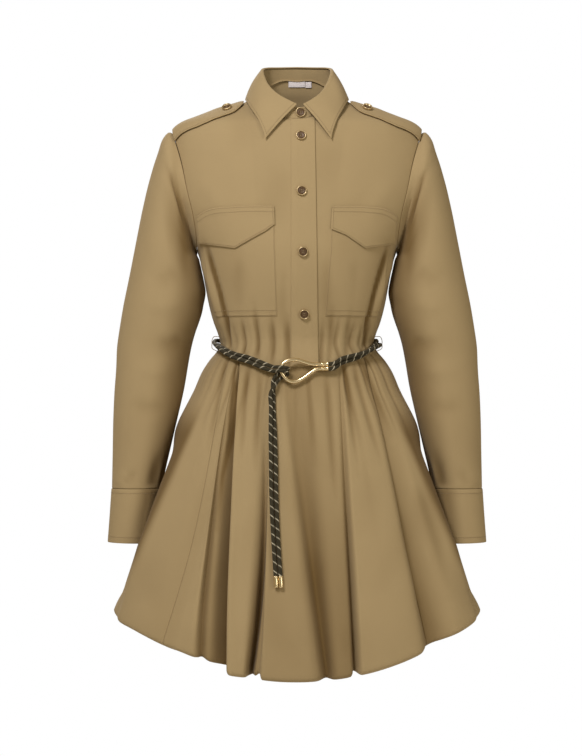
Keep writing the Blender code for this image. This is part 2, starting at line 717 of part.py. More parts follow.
def build_leaf():
    """The leaf rolls over the stand and falls outside it to its pointed ends."""
    right = np.array((-0.01, -8.0, -18.0, -29.0, -40.0, -52.0, -64.0, -76.0, -88.0, -100.0))
    behind = np.arange(-115.0, -170.0, -16.0)
    half = np.concatenate((right, behind))
    degrees = np.concatenate((half, (180.0,), -half[::-1]))
    bearing = np.radians(degrees)
    outward = np.stack((np.sin(bearing), -np.cos(bearing), 0 * bearing), axis=-1)
    up = np.array((0.0, 0.0, 1.0))
    fold = collar_line(degrees, "fold")
    edge = collar_line(degrees, "edge")
    rows = [
        fold - outward * ROLL_REACH + up * 0.2,
        fold - outward * 0.6 + up * ROLL_RISE,
        fold + outward * ROLL_REACH + up * 0.2,
    ]
    turn = rows[-1]
    for share in (0.3, 0.65, 1.0):
        belly = LEAF_BELLY * math.sin(math.pi * share)
        rows.append(turn + (edge - turn) * share + (outward + up) * belly)
    leaf = np.stack(rows)[:, ::-1]
    shell("collar_leaf", leaf, grid_normals(leaf), COLLAR_CLOTH)


# Two tapes inside the back below the neck seam.
LABEL_COLUMNS = ("name", "left", "right", "top", "bottom")
LABELS = (
    ("neck_label", -12.0, 12.5, 37.5, 28.5),
    ("size_tab", 13.2, 22.5, 36.0, 27.5),
)


def build_labels():
    for label in LABELS:
        name, left, right, top, bottom = label
        x = np.linspace(left, right, 4)[None, :] * np.ones((3, 1))
        z = np.linspace(top, bottom, 3)[:, None] * np.ones((1, 4))
        inward = -(CLOTH + 0.5 + LABEL_CLOTH)
        patch(name, x, z, inward, LABEL_CLOTH, "label", back=True)


# ---------------------------------------------------------------- sleeves and cuffs
def armhole_loop(phi):
    """The armhole seam; phi is 0 at the shoulder tip, 90 degrees in front, 180 underarm."""
    middle = (SHOULDER_TIP_Z + UNDERARM_Z) / 2
    reach = (SHOULDER_TIP_Z - UNDERARM_Z) / 2
    z = middle + reach * np.cos(phi)
    back = np.sin(phi) < 0
    x = np.where(back, side_limit(z - 1e-6, True), side_limit(z - 1e-6, False))
    psi = np.where(back, angle_at(x, z, True), angle_at(x, z, False))
    return form_point(psi, z, gathers=False)


def ring(row, phi):
    """Ellipse of one sleeve section: its long axis runs from the inner to the outer end."""
    size = dict(zip(SLEEVE_COLUMNS, row))
    inner = np.array((size["inner_x"], -size["forward"], size["inner_z"]))
    outer = np.array((size["outer_x"], -size["forward"], size["outer_z"]))
    centre = (inner + outer) / 2
    reach = (outer - inner) / 2
    depth = np.array((0.0, -size["half_depth"], 0.0))
    return centre + np.cos(phi)[:, None] * reach + np.sin(phi)[:, None] * depth


def sleeve_rings(phi):
    """Control rings from the armhole seam to the cuff, and where each lies along the sleeve."""
    rings = [armhole_loop(phi) + np.array((SEAM_GAP, 0, 0))]
    rings += [ring(row, phi) for row in SLEEVE_SECTIONS]
    rings = np.stack(rings)
    return rings, lengths_along(rings.mean(axis=1))


# Creases of the sleeve: place along it (0 armhole, 1 cuff), place round it in degrees, size
# along and round, and depth in millimetres.
SLEEVE_CREASE_COLUMNS = ("along", "round", "length", "width", "depth")
SLEEVE_CREASES = (
    (0.13, 100, 0.10, 32, -4.0),
    (0.20, 60, 0.10, 28, 2.5),
    (0.46, 200, 0.10, 50, -2.5),
    (0.95, 130, 0.06, 14, -3.0),
    (0.95, 165, 0.06, 14, -3.0),
)


def sleeve_lift(along, phi):
    lift = 0.0
    for row in SLEEVE_CREASES:
        crease = dict(zip(SLEEVE_CREASE_COLUMNS, row))
        away = (np.degrees(phi) - crease["round"] + 180) % 360 - 180
        reach = ((along - crease["along"]) / crease["length"]) ** 2
        lift = lift + crease["depth"] * np.exp(-reach - (away / crease["width"]) ** 2)
    return lift


# Places of the mesh rows along the sleeve, close together at the armhole.
SLEEVE_ROWS = np.array((0, 0.012, 0.03, 0.06, 0.10, 0.16, 0.24, 0.36, 0.52, 0.70, 0.87, 1.0))


def sleeve_columns():
    """Angles round the sleeve that meet the bodice panels' rows on the armhole seam."""
    heights = SHOULDER_TIP_Z + (WAIST_Z - SHOULDER_TIP_Z) * ROW_FALLS[:ARMHOLE_ROWS]
    middle = (SHOULDER_TIP_Z + UNDERARM_Z) / 2
    reach = (SHOULDER_TIP_Z - UNDERARM_Z) / 2
    front = np.arccos(np.clip((heights - middle) / reach, -1, 1))
    front[-1] = np.pi
    return np.concatenate((front, 2 * np.pi - front[1:-1][::-1]))


def sleeve_surface():
    phi = sleeve_columns()
    rings, places = sleeve_rings(phi)
    along = SLEEVE_ROWS
    wall = spline(places, rings, along * places[-1])
    normals = grid_normals(wall, closed=True)
    fade = np.minimum(smooth_step(along / 0.05), smooth_step((1 - along) / 0.02))
    lift = sleeve_lift(along[:, None], phi[None, :]) * fade[:, None]
    return wall + normals * lift[..., None]


def outward_normals(wall):
    """Normals of a tube's grid, turned away from the middle of each ring."""
    normals = grid_normals(wall, closed=True)
    spokes = wall - wall.mean(axis=1, keepdims=True)
    if np.sum(normals * spokes) < 0:
        normals = -normals
    return normals


def mirrored(grid, side):
    return grid * np.array((side, 1.0, 1.0))


def build_sleeves():
    for side, word in ((-1, "right"), (1, "left")):
        wall = mirrored(sleeve_surface(), side)
        shell("sleeve_" + word, wall, outward_normals(wall), CLOTH, closed=True)
        phi = sleeve_columns()
        cuff = np.stack([ring(row, phi) for row in CUFF_SECTIONS])
        cuff = mirrored(cuff, side)
        shell("cuff_" + word, cuff, outward_normals(cuff), CUFF_CLOTH, closed=True)


# ---------------------------------------------------------------- skirt
def fold_lines(folds, back):
    """Columns of a half skirt: angles at waist and hem, fold depth, start and hem rise."""
    angles = [np.arcsin(column(folds, FOLD_COLUMNS, name)) for name in ("waist", "hem")]
    if back:
        angles = [np.pi - angle for angle in angles]
    depths = [column(folds, FOLD_COLUMNS, name) for name in ("out", "start", "rise")]
    places = []
    for number, count in enumerate(column(folds, FOLD_COLUMNS, "columns")[:-1].astype(int)):
        places.extend(number + step / count for step in range(count))
    places = np.array(places + [len(folds) - 1.0])
    values = np.column_stack(angles + depths)
    return spline(np.arange(len(folds)), values, places), places


def arm_hollow(y, z):
    """How far the skirt's side gives way to the sleeve that hangs against it."""
    depth = read_column(ARM_HOLLOW, ARM_HOLLOW_COLUMNS, "depth", z)
    depth = np.clip(depth, 0.0, None)
    near = np.clip(1 - (y / ARM_HOLLOW_HALF) ** 2, 0.0, 1.0)
    place, wide, share = ARM_HOLLOW_LIP
    lip = share * np.exp(-((np.abs(y) - place) / wide) ** 2)
    return depth * (near ** 1.2 - lip)


def hem_height(psi, rise):
    drop = np.where(np.cos(psi) > 0, HEM_FRONT_DROP, HEM_BACK_DROP)
    share = np.abs(np.cos(psi))
    return HEM_SIDE_Z - drop * share ** 2.3 + rise


def skirt_point(lines, t, inset=0.0, z_shift=0.0):
    """Outer face of the skirt. t runs from 0 at the waist seam to 1 where the hem turns."""
    waist_psi, hem_psi, out, start, rise = lines.T
    top = waist_height(waist_psi) - WAIST_GAP
    bottom = hem_height(hem_psi, rise) + HEM_ROLL
    z = top + (bottom - top) * t
    k_waist, k_hem = np.sin(waist_psi), np.sin(hem_psi)
    a_top, a_low, a_here = (section("half_width", height) for height in (top, bottom, z))
    straight = (k_waist * a_top * (1 - t) + k_hem * a_low * t) / a_here
    spread = k_waist + (k_hem - k_waist) * t
    free = 1 - np.maximum(np.abs(k_waist), np.abs(k_hem)) ** 4
    k = np.clip(straight * free + spread * (1 - free), -1, 1)
    front = np.cos(waist_psi) > 0
    psi = np.where(front, np.arcsin(k), np.pi - np.arcsin(k))
    base = form_point(psi, z, gathers=False)
    depth = np.where(front, section("front", z), section("back", z))
    plan = plan_normal(psi, a_here, depth)
    grow = smooth_step((t - start) / (1 - start) * 1.15)
    swell = (1 + 0.8 * math.sin(math.pi * min(t / 0.25, 1.0))) * math.exp(-t / 0.16)
    small = waist_gathers(psi) * swell
    lift = out * grow + small - arm_hollow(base[:, 1], z) - inset
    point = np.empty_like(base)
    point[:, :2] = base[:, :2] + plan * lift[:, None]
    point[:, 2] = z + z_shift
    return point


# Which fold rows are the panel seams.
FRONT_SEAM_ROWS = (2, 17)
BACK_SEAM_ROWS = (2, 14)
# Shares of the way down the skirt at which its mesh rows lie.
SKIRT_FALLS = (0, 0.035, 0.09, 0.18, 0.31, 0.47, 0.65, 0.83, 1)
HEM_RETURN_FALL = 0.93      # how far up inside the turned hem comes back
SEAM_TRIM = 0.75 * SEAM_GAP  # cut off each panel at a seam


def skirt_rows(lines):
    """The skirt's outer face down to the hem, the roll under it and the return inside."""
    rows = [skirt_point(lines, t) for t in SKIRT_FALLS]
    for degrees in (75, 180):
        angle = math.radians(degrees)
        inset = HEM_ROLL * (1 - math.cos(angle))
        rows.append(skirt_point(lines, 1.0, inset, -HEM_ROLL * math.sin(angle)))
    rows.append(skirt_point(lines, HEM_RETURN_FALL, 2 * HEM_ROLL))
    return np.stack(rows)


def skirt_lines():
    """All the columns of the skirt, from the right side round the front, left side and back."""
    front = fold_lines(FRONT_FOLDS, False)[0]
    back = fold_lines(BACK_FOLDS, True)[0]
    return np.concatenate((front, back[1:-1]))


def build_skirt():
    front, front_places = fold_lines(FRONT_FOLDS, False)
    back_places = fold_lines(BACK_FOLDS, True)[1]
    grid = skirt_rows(skirt_lines())
    normals = grid_normals(grid, closed=True)
    seams = [int(np.where(front_places == row)[0][0]) for row in FRONT_SEAM_ROWS]
    seams += [len(front) - 1 + int(np.where(back_places == row)[0][0]) for row in BACK_SEAM_ROWS]
    count = grid.shape[1]
    names = ("skirt_front", "skirt_side_left", "skirt_back", "skirt_side_right")
    for number, name in enumerate(names):
        first = seams[number]
        last = seams[(number + 1) % 4]
        if last <= first:
            last += count
        columns = np.arange(first, last + 1) % count
        part = grid[:, columns].copy()
        facing = normals[:, columns]
        for end, neighbour in ((0, 1), (-1, -2)):
            part[:, end] += unit(part[:, neighbour] - part[:, end]) * SEAM_TRIM
        shell(name, part, facing, CLOTH)


# ---------------------------------------------------------------- buttons
# Name, x and height of each front button; the collar's sits on the stand, this far forward.
BUTTONS = (
    ("button_collar", 5.3, -21.0),
    ("button_1", 5.6, -57.0),
    ("button_2", 6.6, -139.0),
    ("button_3", 8.6, -228.0),
    ("button_4", 10.4, -318.0),
)
COLLAR_BUTTON_Y = -75.5


def button(name, centre, axis):
    """Sewing button with a raised rim round a dished middle."""
    rim = BUTTON_RADIUS
    profile = (
        (0, 0), (rim - 1.6, 0), (rim, 1.2), (rim, 2.4), (rim - 0.9, BUTTON_THICK),
        (rim - 2.3, 2.2), (0, 1.9),
    )
    return turned(name, profile, centre, axis, "horn", 12)


def build_buttons():
    for name, x, z in BUTTONS:
        if name == "button_collar":
            place = np.array((x, COLLAR_BUTTON_Y, z))
            normal = np.array((0.0, -1.0, 0.12))
        else:
            psi = angle_at(x, z)
            normal = form_normal(psi, z)
            place = form_point(psi, z) + normal * (LAYER_GAP + CLOTH + BUTTON_SHANK)
        button(name, place, normal)
    for side, word in ((-1, "right"), (1, "left")):
        psi, z = over_shoulder(side * EPAULETTE_BUTTON[0], EPAULETTE_BUTTON[1])
        normal = form_normal(psi, z)
        place = form_point(psi, z) + normal * (STRAP_GAP + STRAP_CLOTH + BUTTON_SHANK + 1.1)
        button("epaulette_button_" + word, place, normal + np.array((0.0, -0.25, 0.0)))


# ---------------------------------------------------------------- belt
# Height of the belt's middle by bearing round the waist.
BELT_COLUMNS = ("bearing", "height")
BELT = (
    (0, -400), (15, -397), (20, -394), (26, -388.5), (44, -379), (77, -362), (90, -359.5),
    (135, -363), (180, -366),
)
STRAND_APART = 6.7          # between the centres of the two cords that lie round the waist
STRAND_REST = 3.4           # centre of a cord above the cloth it lies on
HALF_TURNS = 5              # how many times the two cords change places round the waist
FERRULE = (3.2, 10.0)       # radius and length
FERRULE_START = (35.3, -105.2)
FERRULE_HEIGHTS = (-391.8, -398.6)
# The hook: a bent rod from the upper ferrule round a drop-shaped loop to the lower one, as x
# and height in a plane that leans back from its middle.
BUCKLE_ROUTE = (
    (34.8, -391.8), (31.0, -391.8), (26.1, -392.2), (17.3, -390.7), (8.5, -387.9), (1.2, -385.6),
    (-6.9, -385.2), (-14.8, -387.1), (-20.7, -391.3), (-23.6, -398.6), (-21.5, -405.9),
    (-15.6, -413.7), (-6.9, -417.4), (1.2, -416.3), (8.5, -412.4), (17.3, -406.1), (25.6, -400.5),
    (31.0, -398.7), (34.8, -398.6),
)
BUCKLE_MIDDLE = (35.0, -105.2, -395.0)
BUCKLE_LEAN = (0.0956, 0.05)        # forward per millimetre to the right and per millimetre up
# The two cords over the hook's left end, into it, back behind it and down: x, y, z and share of
# the cord's radius left where it is squeezed. The first cord ends behind the second.
HITCH_FIRST = (
    (-34.0, -107.5, -396.0, 0.87), (-28.5, -114.3, -395.9, 0.84), (-22.5, -116.6, -396.0, 0.83),
    (-16.8, -115.5, -396.8, 0.83), (-13.0, -111.2, -398.0, 0.83), (-14.8, -106.6, -400.4, 0.83),
    (-20.5, -105.3, -404.0, 0.83), (-26.5, -105.5, -408.8, 0.85), (-31.0, -106.9, -415.0, 0.90),
    (-33.4, -108.8, -422.0, 0.94),
)
HITCH_SECOND = (
    (-34.5, -107.5, -401.9, 0.87), (-28.5, -114.3, -401.3, 0.84), (-22.8, -116.7, -401.3, 0.83),
    (-17.6, -115.4, -402.2, 0.83), (-14.4, -111.4, -404.2, 0.83), (-13.8, -107.2, -407.2, 0.83),
    (-17.5, -105.5, -411.0, 0.83), (-23.5, -106.3, -414.6, 0.84), (-27.2, -111.4, -419.5, 0.87),
    (-32.0, -116.0, -424.5, 0.92),
)
# The hanging cords: height, x of the first cord, x of the second, second in front of the first.
HANGING_COLUMNS = ("height", "first_x", "second_x", "ahead")
HANGING = np.array((
    (-432, -34.8, -37.6, 6.6),
    (-456, -34.2, -38.0, 5.9),
    (-490, -32.4, -38.6, 4.0),
    (-527, -31.2, -38.2, 1.0),
    (-570, -30.4, -37.6, 0),
    (-610, -29.2, -36.2, 0),
    (-655, -26.8, -33.8, 0),
    (-696.5, -24.0, -31.0, 0),
))
TIP = (3.15, 16.5)          # radius and length of a cord's metal end
HITCH_STEP = 4.4
BELT_STEP = 14.0


def strand(bearing, half_turns, first):
    """Centre of one waist cord; the two wind slowly round each other."""
    psi = np.radians(bearing)
    around = np.abs((bearing + 180) % 360 - 180)
    wind = half_turns * math.pi + (0.0 if first else math.pi)
    bearings, heights = (column(BELT, BELT_COLUMNS, name) for name in BELT_COLUMNS)
    z = spline(bearings, heights, around)
    to_side = smooth_step(np.abs(np.cos(psi)) / 0.35)
    out = STRAND_REST + 0.8 + 1.4 * to_side
    out = out + STRAND_APART / 2 * (np.abs(np.sin(wind)) + np.sin(wind))
    lifted = 6.0 * (1 - smooth_step((around - 19.0) / 13.0))
    point = form_point(psi, z, out + lifted, gathers=False)
    point[:, 2] += STRAND_APART / 2 * np.cos(wind)
    return point


def waist_cord(first):
    """From the ferrule round the wearer's left side and back to the hook's left end."""
    start, end = 21.0, 360.0 - 18.0
    bearing = np.linspace(start, end, 43)
    turns = HALF_TURNS * smooth_ends((bearing - start) / (end - start))
    points = strand(bearing, turns, first)
    level = FERRULE_HEIGHTS[0 if first else 1] + 0.2
    at_ferrule = np.array(((45.8, -104.4, level), (50.3, -104.0, level + 0.1)))
    return np.concatenate((at_ferrule, points[1:]))


def smooth_ends(share):
    """Share that leaves 0 and reaches 1 with no turn, so the cords stay stacked at both ends."""
    return share - np.sin(2 * math.pi * share) / (2 * math.pi) * 0.35


def front_of_skirt(x, z, columns):
    """y of the skirt's outer face at x and z, from the front columns of its grid."""
    at_x = np.array([np.interp(-z, -line[:, 2], line[:, 0]) for line in columns])
    at_y = np.array([np.interp(-z, -line[:, 2], line[:, 1]) for line in columns])
    order = np.argsort(at_x)
    near = np.interp((x - 4.0, x, x + 4.0), at_x[order], at_y[order])
    return float(np.min(near))


def hanging_route(first, columns):
    """A cord lies against the skirt from below the hook to its metal end."""
    name = "first_x" if first else "second_x"
    route = []
    for row in HANGING:
        z = row[0]
        x = row[HANGING_COLUMNS.index(name)]
        y = front_of_skirt(x, z, columns) - STRAND_REST - 0.7
        if not first:
            y -= row[HANGING_COLUMNS.index("ahead")]
        route.append((x, y, z, 1.0))
    return route


def split_route(points, at):
    """The two parts of a route before and after a place along it, a seam gap apart."""
    length = lengths_along(points)

    def part(start, stop):
        inside = length[(length > start + 1.0) & (length < stop - 1.0)]
        places = np.concatenate(((start,), inside, (stop,)))
        return np.stack([np.interp(places, length, points[:, k]) for k in range(4)], axis=-1)

    return part(0.0, at), part(at + 2 * SEAM_GAP, length[-1])


def build_belt():
    front = fold_lines(FRONT_FOLDS, False)[0]
    columns = np.stack([skirt_point(front, t) for t in np.linspace(0, 1, 30)], axis=1)
    for first, word, number in ((True, "upper", "1"), (False, "lower", "2")):
        waist = waist_cord(first)
        waist = np.column_stack((waist, np.ones(len(waist))))
        behind = not first
        hitch = np.array(HITCH_FIRST if behind else HITCH_SECOND)
        hanging = np.array(hanging_route(behind, columns))
        loose = along_route(np.concatenate((waist[-2:], hitch, hanging)), HITCH_STEP)
        joined = int(np.argmin(np.abs(loose[:, 2] - hitch[-1, 2]) + 1000 * (loose[:, 0] > -25)))
        tied, free = split_route(loose, lengths_along(loose)[joined] + 5.0)
        whole = np.concatenate((waist[:-2], tied))
        tube("belt_cord_" + word, whole[:, :3], CORD_RADIUS, "cord", whole[:, 3])
        free = np.concatenate((free[:2], along_route(free[2:], BELT_STEP)))
        tube("hanging_cord_" + number, free[:, :3], CORD_RADIUS, "cord", free[:, 3])
        down = unit(free[-1, :3] - free[-2, :3])
        radius, tall = TIP
        profile = (
            (0, 0), (radius, 0), (radius, tall - 1.2), (radius - 1.0, tall), (0, tall),
        )
        turned("cord_tip_" + number, profile, free[-1, :3] + down * SEAM_GAP, down, "brass", 12)


def build_buckle():
    x, z = np.array(BUCKLE_ROUTE).T
    middle_x, middle_y, middle_z = BUCKLE_MIDDLE
    y = middle_y - BUCKLE_LEAN[0] * (middle_x - x) - BUCKLE_LEAN[1] * (middle_z - z)
    tube("buckle", along_route(np.stack((x, y, z), axis=-1), 7.0), BUCKLE_TUBE, "brass")
    radius, length = FERRULE
    profile = ((0, 0), (radius, 0), (radius, length), (0, length))
    for word, level in zip(("upper", "lower"), FERRULE_HEIGHTS):
        start = np.array((*FERRULE_START, level))
        turned("ferrule_" + word, profile, start, (1.0, 0.08, 0.02), "brass", 12)


CARRIER_RADIUS = 0.6
CARRIER_ENDS = (-350.0, -372.0)         # heights where the loop goes into the side seam
CARRIER_ROUTE = ((125.2, -350.6), (127.3, -355.0), (127.6, -361.0), (127.4, -367.0))


def build_carriers():
    """A loop of thread at each side seam, round the belt."""
    for side, word in ((-1, "right"), (1, "left")):
        ends = np.array(CARRIER_ENDS)
        top, bottom = section("half_width", ends) + 1.5
        route = ((top, ends[0]), *CARRIER_ROUTE, (bottom, ends[1]))
        points = [(side * x, 0.0, z) for x, z in route]
        tube("carrier_loop_" + word, along_route(points, 4.0), CARRIER_RADIUS, "thread")


def main():
    for old in list(bpy.data.objects):
        bpy.data.objects.remove(old, do_unlink=True)
    build_bodice()
    build_placket()
    build_pockets()
    build_epaulettes()
    build_stand()
    build_leaf()
    build_labels()
    build_sleeves()
    build_skirt()
    build_buttons()
    build_belt()
    build_buckle()
    build_carriers()


main()
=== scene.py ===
"""Visible cloth, sewing, buttons, labels and rope belt of a long-sleeved shirt dress.

Lengths are in millimetres, and become metres when a mesh is made. +X is the wearer's left, the
front faces -Y, +Z is up, and the origin lies between the shoulders. The cloth is laid on the same
worked-out form as the solids: level superellipse sections for the body and skirt, ellipses along
each arm for the sleeves.
"""

import math

import bpy
import numpy as np
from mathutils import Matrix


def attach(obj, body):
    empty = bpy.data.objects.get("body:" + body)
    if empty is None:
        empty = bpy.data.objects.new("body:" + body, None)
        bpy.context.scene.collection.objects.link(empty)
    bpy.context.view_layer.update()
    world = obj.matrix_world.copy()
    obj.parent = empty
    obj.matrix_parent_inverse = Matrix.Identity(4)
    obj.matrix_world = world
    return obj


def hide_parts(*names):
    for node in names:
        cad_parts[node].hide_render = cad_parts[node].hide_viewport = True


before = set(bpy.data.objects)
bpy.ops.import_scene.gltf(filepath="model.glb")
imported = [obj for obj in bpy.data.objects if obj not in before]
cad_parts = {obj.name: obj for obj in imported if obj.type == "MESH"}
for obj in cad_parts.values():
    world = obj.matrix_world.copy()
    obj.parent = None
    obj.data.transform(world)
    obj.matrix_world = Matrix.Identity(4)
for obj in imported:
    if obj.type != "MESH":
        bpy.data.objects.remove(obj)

bl_info = {
    "name": "Shirt dress",
    "version": (1, 0, 0),
    "blender": (4, 5, 0),
    "location": "View3D > Sidebar > Dress",
    "description": "Cloth, sewing, buttons and rope belt laid over the solids of a shirt dress",
    "category": "Object",
}

MM = 0.001
UP = np.array((0.0, 0.0, 1.0))
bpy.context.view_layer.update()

# ---- sizes of the form
LAYER_GAP = 0.9
STRAP_GAP = 1.4
SHOULDER_TIP = 187.0
SHOULDER_TIP_Z = -45.0
UNDERARM_Z = -225.0
WAIST_Z = -360.0
WAIST_FRONT_DIP = 36.0
WAIST_BACK_DIP = 8.0
HEM_SIDE_Z = -765.0
HEM_FRONT_DROP = 82.0
HEM_BACK_DROP = 74.0
HEM_ROLL = 7.0
NECK_HALF_WIDTH = 70.0
NECK_FRONT = 78.0
NECK_BACK = 50.0
PLACKET_SEAM_X = -9.0
PLACKET_LEFT_X = (26.0, 31.0)  # at the neck and at the waist
PLACKET_BEARING = 0.09  # radians from the middle of the front
GATHERS_START, GATHERS_FADE = -306.0, 50.0
CORD_RADIUS = 3.0

# Horizontal sections of the dress, from the back neck to the hem.
SECTION_COLUMNS = ("height", "half_width", "front", "back", "squareness")
SECTIONS = np.array((
    (45, 57, 10, 49, 2.3), (39, 58, 12, 50, 2.3), (28, 62, 16, 52, 2.3), (18, 66, 20, 54, 2.3),
    (8, 70, 26, 58, 2.2), (0, 82, 34, 61, 2.1), (-5, 98, 40, 63, 2.0), (-10, 116, 47, 66, 2.0),
    (-17, 134, 58, 69, 2.0), (-24, 152, 68, 72, 2.0), (-30, 168, 76, 75, 2.0),
    (-45, 187, 84, 80, 2.0), (-60, 190.5, 89, 84, 2.05), (-95, 193, 98, 91, 2.1),
    (-133, 190, 105, 96, 2.15), (-174, 177, 111, 98, 2.2), (-200, 164, 114, 98, 2.2),
    (-225, 149, 116, 97, 2.25), (-250, 142, 114, 95, 2.3), (-278, 136.5, 109, 91, 2.3),
    (-310, 130, 101, 86, 2.3), (-330, 124.5, 96, 83, 2.25), (-345, 119, 92.5, 81, 2.2),
    (-354, 116.3, 91, 80, 2.2), (-363, 115.5, 91, 80, 2.2), (-371, 119.5, 92, 82, 2.15),
    (-385, 131, 95, 87, 2.1), (-400, 141, 99, 92, 2.1), (-430, 154.5, 107, 102, 2.1),
    (-475, 177, 120, 118, 2.1), (-540, 200, 136, 136, 2.1), (-600, 220, 150, 151, 2.1),
    (-670, 243, 165, 167, 2.1), (-716, 260.5, 174, 176, 2.1), (-745, 270.5, 180, 182, 2.1),
    (-765, 277, 184, 186, 2.1), (-800, 284, 188, 190, 2.1), (-845, 292, 193, 195, 2.1),
))
ARMHOLE_COLUMNS = ("height", "front_x", "back_x")
ARMHOLE = np.array((
    (-45, 187, 187), (-57, 182.5, 184), (-95, 171, 176), (-133, 163, 170), (-174, 153.5, 161),
    (-200, 150, 154), (-225, 149, 149),
))
ARM_HOLLOW_COLUMNS = ("height", "depth")
ARM_HOLLOW = np.array((
    (-400, 0), (-450, 0), (-475, 0), (-490, 1), (-530, 11), (-577, 21), (-620, 32), (-662, 39.5),
    (-680, 32), (-700, 20), (-725, 8), (-745, 2), (-765, 0),
))
ARM_HOLLOW_HALF = 47.0
ARM_HOLLOW_LIP = (62.0, 18.0, 0.24)  # distance from the side, width, share of the depth

# Lines down the skirt that its folds follow: share of the half width at the waist and hem, how far
# the line stands out or lies in at the hem, where along the skirt the fold starts, the cloth's grid
# lines to the next row, the shade painted on the cloth there (0 to 1), the rise of the hem there,
# and how far the line's middle bends aside. Zeros at a row's end are left out. Close rows make a
# sharp pleat edge.
FRONT_FOLDS = (
    (-1, -1, 0, 0, 8), (-0.93, -0.965, 1, 0.1, 7),
    (-0.86, -0.93, 6, 0.05, 6),  # corner beside the sleeve
    (-0.83, -0.85, 4, 0.1, 10, 0, 2, 0.02),
    (-0.8, -0.685, 1, 0.2, 6, 0.1, 4, 0.06),  # panel seam
    (-0.755, -0.6, 3, 0.1, 6, 0, 7, 0.05), (-0.715, -0.52, 4, 0, 3, 0.05, 8),
    (-0.7, -0.498, -8, -0.1, 4, 0.72, 10, -0.02), (-0.685, -0.45, -3, -0.1, 5, 0.38, 8, -0.01),
    (-0.672, -0.395, -20, -0.3, 4, 0.75, 7), (-0.662, -0.366, -25, -0.3, 3, 0.88, 6),
    (-0.65, -0.35, 2, -0.3, 3, 0.25, 2),  # sharp edge of the first pleat
    (-0.635, -0.335, 9, -0.2, 6, 0, -1), (-0.57, -0.297, 7, 0, 6, 0, -1),
    (-0.45, -0.262, 4, 0.1, 4, 0.05, 0, 0.02), (-0.39, -0.251, -8, 0.05, 3, 0.5, 2, 0.04),
    (-0.365, -0.241, -25, 0.1, 3, 0.92, 3, 0.05),  # narrow dark valley
    (-0.345, -0.229, -20, 0.1, 3, 0.85, 3, 0.05), (-0.32, -0.211, -5, 0.1, 3, 0.4, 4, 0.04),
    (-0.3, -0.19, -3, 0.2, 3, 0.2, 8, 0.02), (-0.285, -0.177, 4, 0.2, 4, 0.1, 1, 0.01),
    (-0.262, -0.15, 5, 0.1, 8, 0.18), (-0.236, -0.02, 5, 0.1, 6, 0.2),
    (-0.215, 0.062, 4, 0, 5, 0.2), (-0.2, 0.1, -1, 0, 3, 0.3),
    (-0.18, 0.122, -8, -0.1, 4, 0.62, 1), (-0.145, 0.14, -15, -0.2, 4, 0.9, 2),
    (-0.09, 0.153, -17, -0.2, 4, 0.9, 2),  # middle valley, wide above
    (-0.01, 0.166, -12, -0.2, 4, 0.85, 1), (0.09, 0.182, -2, -0.2, 4, 0.6),
    (0.2, 0.205, 4, 0, 5, 0.48), (0.33, 0.25, 4, 0.1, 4, 0.48), (0.405, 0.271, 1, 0, 3, 0.5, 1),
    (0.442, 0.284, -9, -0.1, 3, 0.6, 5),
    (0.457, 0.291, -12, -0.2, 3, 0.6, 6),  # thin valley by the wide panel
    (0.474, 0.299, -7, -0.2, 3, 0.3, 5), (0.494, 0.313, 6, -0.1, 4, 0, 1), (0.54, 0.34, 8, 0, 8),
    (0.62, 0.45, 8, 0.1, 9), (0.7, 0.56, 7, 0.1, 7), (0.745, 0.625, 4, 0, 4, 0.1),
    (0.775, 0.662, -6, -0.1, 5, 0.4),
    (0.8, 0.69, -14, -0.2, 5, 0.6, 1, -0.02),  # panel seam, in a soft valley
    (0.815, 0.735, -13, -0.1, 5, 0.5, 1, -0.02), (0.83, 0.785, -5, 0, 5, 0.15),
    (0.845, 0.84, 4, 0.05, 7), (0.87, 0.925, 6, 0.05, 6), (0.93, 0.965, 1, 0.1, 8),
    (1, 1, 0, 0, 1),
)
BACK_FOLDS = (
    (1, 1, 0, 0, 12), (0.9, 0.85, 4, 0.1, 10),
    (0.8, 0.69, -11, 0.1, 9, 0.55, 4),  # panel seam
    (0.73, 0.61, 7, 0.1, 8), (0.65, 0.53, 6, 0.1, 7), (0.57, 0.44, -15, 0, 5, 0.75, 5),
    (0.53, 0.4, 5, 0.1, 7, 0, 1), (0.43, 0.32, 7, 0.1, 7), (0.31, 0.2, -12, 0.2, 6, 0.6, 4),
    (0.24, 0.15, 5, 0.1, 6), (0.16, 0.08, 7, 0.1, 6), (0.04, 0, -6, 0, 4, 0.3, 3),
    (0, -0.035, -17, 0, 4, 0.8, 6), (-0.03, -0.06, 4, 0, 6, 0, 1), (-0.12, -0.15, 7, 0.1, 8),
    (-0.26, -0.27, -11, 0.2, 6, 0.55, 4), (-0.33, -0.32, 5, 0.1, 6), (-0.44, -0.4, 7, 0.1, 7),
    (-0.56, -0.5, -15, 0, 6, 0.75, 5), (-0.62, -0.545, 5, 0.1, 7), (-0.71, -0.62, 6, 0.1, 7),
    (-0.8, -0.69, -9, 0.1, 9, 0.45, 3),  # panel seam
    (-0.9, -0.85, 3, 0.1, 14), (-1, -1, 0, 0, 1),
)
SEAM_SHARES = (-0.8, 0.8)  # waist shares of the panel seams

